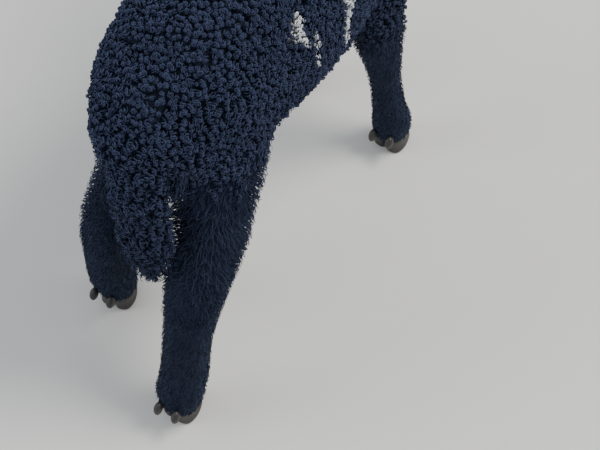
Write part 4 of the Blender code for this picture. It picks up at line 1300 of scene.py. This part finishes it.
def build_lamb():
    settle = Matrix.Translation(SHIFT)
    wool = coat_finish("black_wool", WOOL_SHADED_ROOT, WOOL_HIGHLIT_TIP, 0.65, 0.12, 1500.0)
    hair = coat_finish("black_hair", HAIR_SHADED_ROOT, HAIR_HIGHLIT_TIP, 0.6, 0.08, 1800.0)
    hide = skin_finish("black_hide", HIDE, 0.85, 700.0, 0.8 * MM)
    face = skin_finish("short_haired_skin", FACE_SKIN, 0.75, 900.0, 1.2 * MM, HEAD_TILT, 5.0)
    horn = horn_finish("dark_horn", HORN, 0.45)
    eye = eye_finish("brown_eye")

    skin = build_body_skin()
    head = build_head_skin()
    left_ear = build_ear("ear_left_skin")
    right_ear = mirrored(left_ear, "ear_right_skin")
    left_eye = build_eye("eyeball_left")
    right_eye = mirrored(left_eye, "eyeball_right")
    left_bud = build_horn_bud("horn_left")
    right_bud = mirrored(left_bud, "horn_right")

    legs = [
        f"{end}leg_{side}_{part}"
        for end in ("fore", "hind")
        for side in ("left", "right")
        for part in ("upper", "lower")
    ]
    for obj, material, slot, nodes in (
        (skin, hide, "black_fleece", ["torso", "neck", "tail", *legs]),
        (head, face, "short_black_wool", ["head"]),
        (left_ear, face, "short_black_wool", ["ear_left"]),
        (right_ear, face, "short_black_wool", ["ear_right"]),
        (left_eye, eye, "eye", ["eye_left"]),
        (right_eye, eye, "eye", ["eye_right"]),
        (left_bud, horn, "horn", ["horn_bud_left"]),
        (right_bud, horn, "horn", ["horn_bud_right"]),
    ):
        put(obj, settle)
        obj.data.shade_smooth()
        finish_piece(obj, material, slot, *nodes)
    for foot in FEET:
        for side, word in ((1, "a"), (-1, "b")):
            claw = build_claw(f"claw_{foot}_{word}", foot, side)
            small = build_dewclaw(f"small_claw_{foot}_{word}", foot, side)
            for obj, node in ((claw, f"hoof_{foot}_{word}"), (small, f"dewclaw_{foot}_{word}")):
                put(obj, settle)
                obj.data.shade_smooth()
                finish_piece(obj, horn, "horn", node)

    for obj in (skin, head, left_ear, right_ear):
        unwrap(obj)
    grow_fleece(skin, wool)
    grow_locks(skin, wool)
    grow_head_coat(head, wool, hair)
    for side, ear in (("left", left_ear), ("right", right_ear)):
        grow_ear_hair(ear, hair, side)


def evenly(gap):
    """The same gap between the roots everywhere."""
    return lambda places: np.full(len(places), gap)


def grown(sizes, share):
    """A size in metres for each share of the way from the shortest coat to the longest."""
    shortest, more = sizes
    return (shortest + more * share) * MM


def in_bands(roots, bands):
    """The name of each band in turn, from the chest backwards, and the roots in it."""
    y = drawn(roots.place)[:, 1]
    start = BANDS_START
    for name, end in bands:
        yield name, some(roots, (y >= start) & (y < end))
        start = end


def curliness(places):
    """1 where the fleece is in tight curls and 0 where it hangs in loose locks."""
    x, y, z = drawn(places).T
    tail = smooth_step(194, 204, y)
    under_tail = smooth_step(156, 170, y) * smooth_step(*THIGH_GAP, np.abs(x)) * smooth_step(352, 335, z)
    z = z + 22 * swirl(places, 35 * MM, 2.0)
    hind = smooth_step(*HIND_HALF, y)
    share = smooth_step(*FORE_CURLS, z) * (1 - hind) + smooth_step(*HIND_CURLS, z) * hind
    return share * (1 - np.maximum(tail, under_tail)) + smooth_step(*TAIL_CURLS, z) * tail


def grow_fleece(skin, wool):
    """Tight curls over the body and the tail."""

    def wanted(places):
        return (curliness(places) > 0) & (past_joint(places) < 10)

    roots = scatter(skin, body_lie, evenly(KNOT_SPACING), wanted, seed=11)
    draw = np.random.default_rng(12)
    roots = some(roots, draw.random(len(roots.place)) < curliness(roots.place))
    for seed, (name, band) in enumerate(in_bands(roots, KNOT_BANDS)):
        share = depth_share(band.place)
        height = grown(KNOT_HEIGHT, share) * (1 + 0.12 * swirl(band.place, 18 * MM, 4.0))
        radius = KNOT_RADIUS * (0.72 + 0.28 * share)
        finish_piece(knots(name, band, height, radius, seed), wool, "black_fleece")


def between_thighs(places):
    """1 between the thighs under the tail, and 0 elsewhere."""
    x, y, z = drawn(places).T
    under = (y > 148) * (y < 193) * smooth_step(205, 230, z) * (z < 350)
    return smooth_step(*THIGH_GAP, np.abs(x)) * under


def short_on_leg(places):
    """Whether the coat is short there: on the lower legs, but not on the tail."""
    _, y, z = drawn(places).T
    low = z < BARE_LEG / MM + 22 + 8 * swirl(places, 15 * MM, 3.0)
    return low & ((y < 195) | (z < 150))


def grow_locks(skin, wool):
    """Loose woolly locks on the belly, thighs and tail's tip, and short ones down the legs."""

    def wanted(places):
        return (curliness(places) < 1) & (past_joint(places) < 10)

    def spacing(places):
        return LOCK_SPACING * (0.84 + 0.16 * depth_share(places))

    roots = scatter(skin, body_lie, spacing, wanted, seed=21)
    draw = np.random.default_rng(22)
    roots = some(roots, draw.random(len(roots.place)) > curliness(roots.place))
    short = short_on_leg(roots.place)
    for seed, (name, band) in enumerate(in_bands(some(roots, ~short), LOCK_BANDS)):
        share = depth_share(band.place)
        lift = grown(LOCK_LIFT, share) + LIFT_BETWEEN_THIGHS * MM * between_thighs(band.place)
        tufts = locks(name, band, grown(LOCK_LENGTH, share), lift, 1.5 * MM, 0.56 * MM, 30 + seed)
        finish_piece(tufts, wool, "black_fleece")
    for seed, (name, band) in enumerate(in_bands(some(roots, short), LEG_BANDS)):
        share = smooth_step(20, 160, drawn(band.place)[:, 2])
        length, lift = grown(LEG_LOCK_LENGTH, share), grown(LEG_LOCK_LIFT, share)
        tufts = locks(name, band, length, lift, 0.9 * MM, 0.46 * MM, 40 + seed, rings=3)
        finish_piece(tufts, wool, "short_black_wool")


def grow_head_coat(head, wool, hair):
    """Small curls on poll, forehead and cheeks, and short hair on the face."""
    roots = scatter(head, head_lie, evenly(HEAD_KNOT_SPACING), woolly_head, seed=31)
    edge = smooth_step(-82, -54, in_head(roots.place)[:, 1])
    height, radius = grown(HEAD_KNOT_HEIGHT, edge), grown(HEAD_KNOT_RADIUS, edge)
    tufts = knots("fleece_head", roots, height, radius, seed=32, rings=9)
    finish_piece(tufts, wool, "black_fleece")
    roots = scatter(head, head_lie, evenly(FACE_HAIR_SPACING), haired_face, seed=33)
    back = smooth_step(-150, -60, in_head(roots.place)[:, 1])
    tufts = wisps("hair_face", roots, grown(FACE_HAIR_LENGTH, back), 0.8 * MM, 0.34 * MM, seed=34)
    finish_piece(tufts, hair, "short_black_wool")


def grow_ear_hair(ear, hair, side):
    """Short hair that lies towards the tip of the ear, inside and out."""
    direction = EAR_DIRECTION * Vector((1 if side == "left" else -1, 1, 1))
    direction = np.array(HEAD_PLACE.to_3x3() @ direction)

    def lie(places):
        return np.broadcast_to(direction, places.shape)

    def everywhere(places):
        return np.ones(len(places), bool)

    roots = scatter(ear, lie, evenly(EAR_HAIR_SPACING), everywhere, seed=41)
    tufts = wisps(f"hair_ear_{side}", roots, 4.4 * MM, 1.2 * MM, 0.36 * MM, seed=42)
    finish_piece(tufts, hair, "short_black_wool")


# Studio


def area_light(name, place, size, energy, colour):
    light = bpy.data.lights.new(name, "AREA")
    light.shape = "DISK"
    light.size = size
    light.energy = energy
    light.color = colour
    obj = bpy.data.objects.new(name, light)
    obj.location = place
    obj.rotation_euler = (LIGHTS_AIM - place).to_track_quat("-Z", "Y").to_euler()
    bpy.context.scene.collection.objects.link(obj)


def set_studio():
    deselect_all()
    bpy.ops.mesh.primitive_plane_add(size=12)
    floor = bpy.context.active_object
    floor.name = "floor"
    floor.data.materials.append(new_material("pale_floor", 0.85, 0.2, Base_Color=(*FLOOR, 1))[0])
    world = bpy.data.worlds.new("studio")
    world.use_nodes = True
    sky = world.node_tree.nodes["Background"].inputs
    sky["Color"].default_value = (*SKY, 1)
    sky["Strength"].default_value = SKY_STRENGTH
    bpy.context.scene.world = world
    for light in LIGHTS:
        area_light(*light)


def set_camera():
    around, above = math.radians(CAMERA_AROUND), math.radians(CAMERA_UP)
    level = math.cos(above)
    back = Vector((math.sin(around) * level, -math.cos(around) * level, math.sin(above)))
    right = Vector((math.cos(around), math.sin(around), 0))
    up = back.cross(right)
    roll = math.radians(CAMERA_ROLL)
    across = right * math.cos(roll) + up * math.sin(roll)
    upward = up * math.cos(roll) - right * math.sin(roll)
    camera = bpy.data.cameras.new("camera")
    camera.sensor_width = 36
    camera.lens = CAMERA_LENS
    obj = bpy.data.objects.new("camera", camera)
    turn = Matrix((across, upward, back)).transposed().to_4x4()
    obj.matrix_world = Matrix.Translation(CAMERA_AIM + back * CAMERA_DISTANCE) @ turn
    bpy.context.scene.collection.objects.link(obj)
    bpy.context.scene.camera = obj


build_lamb()
set_studio()
set_camera()
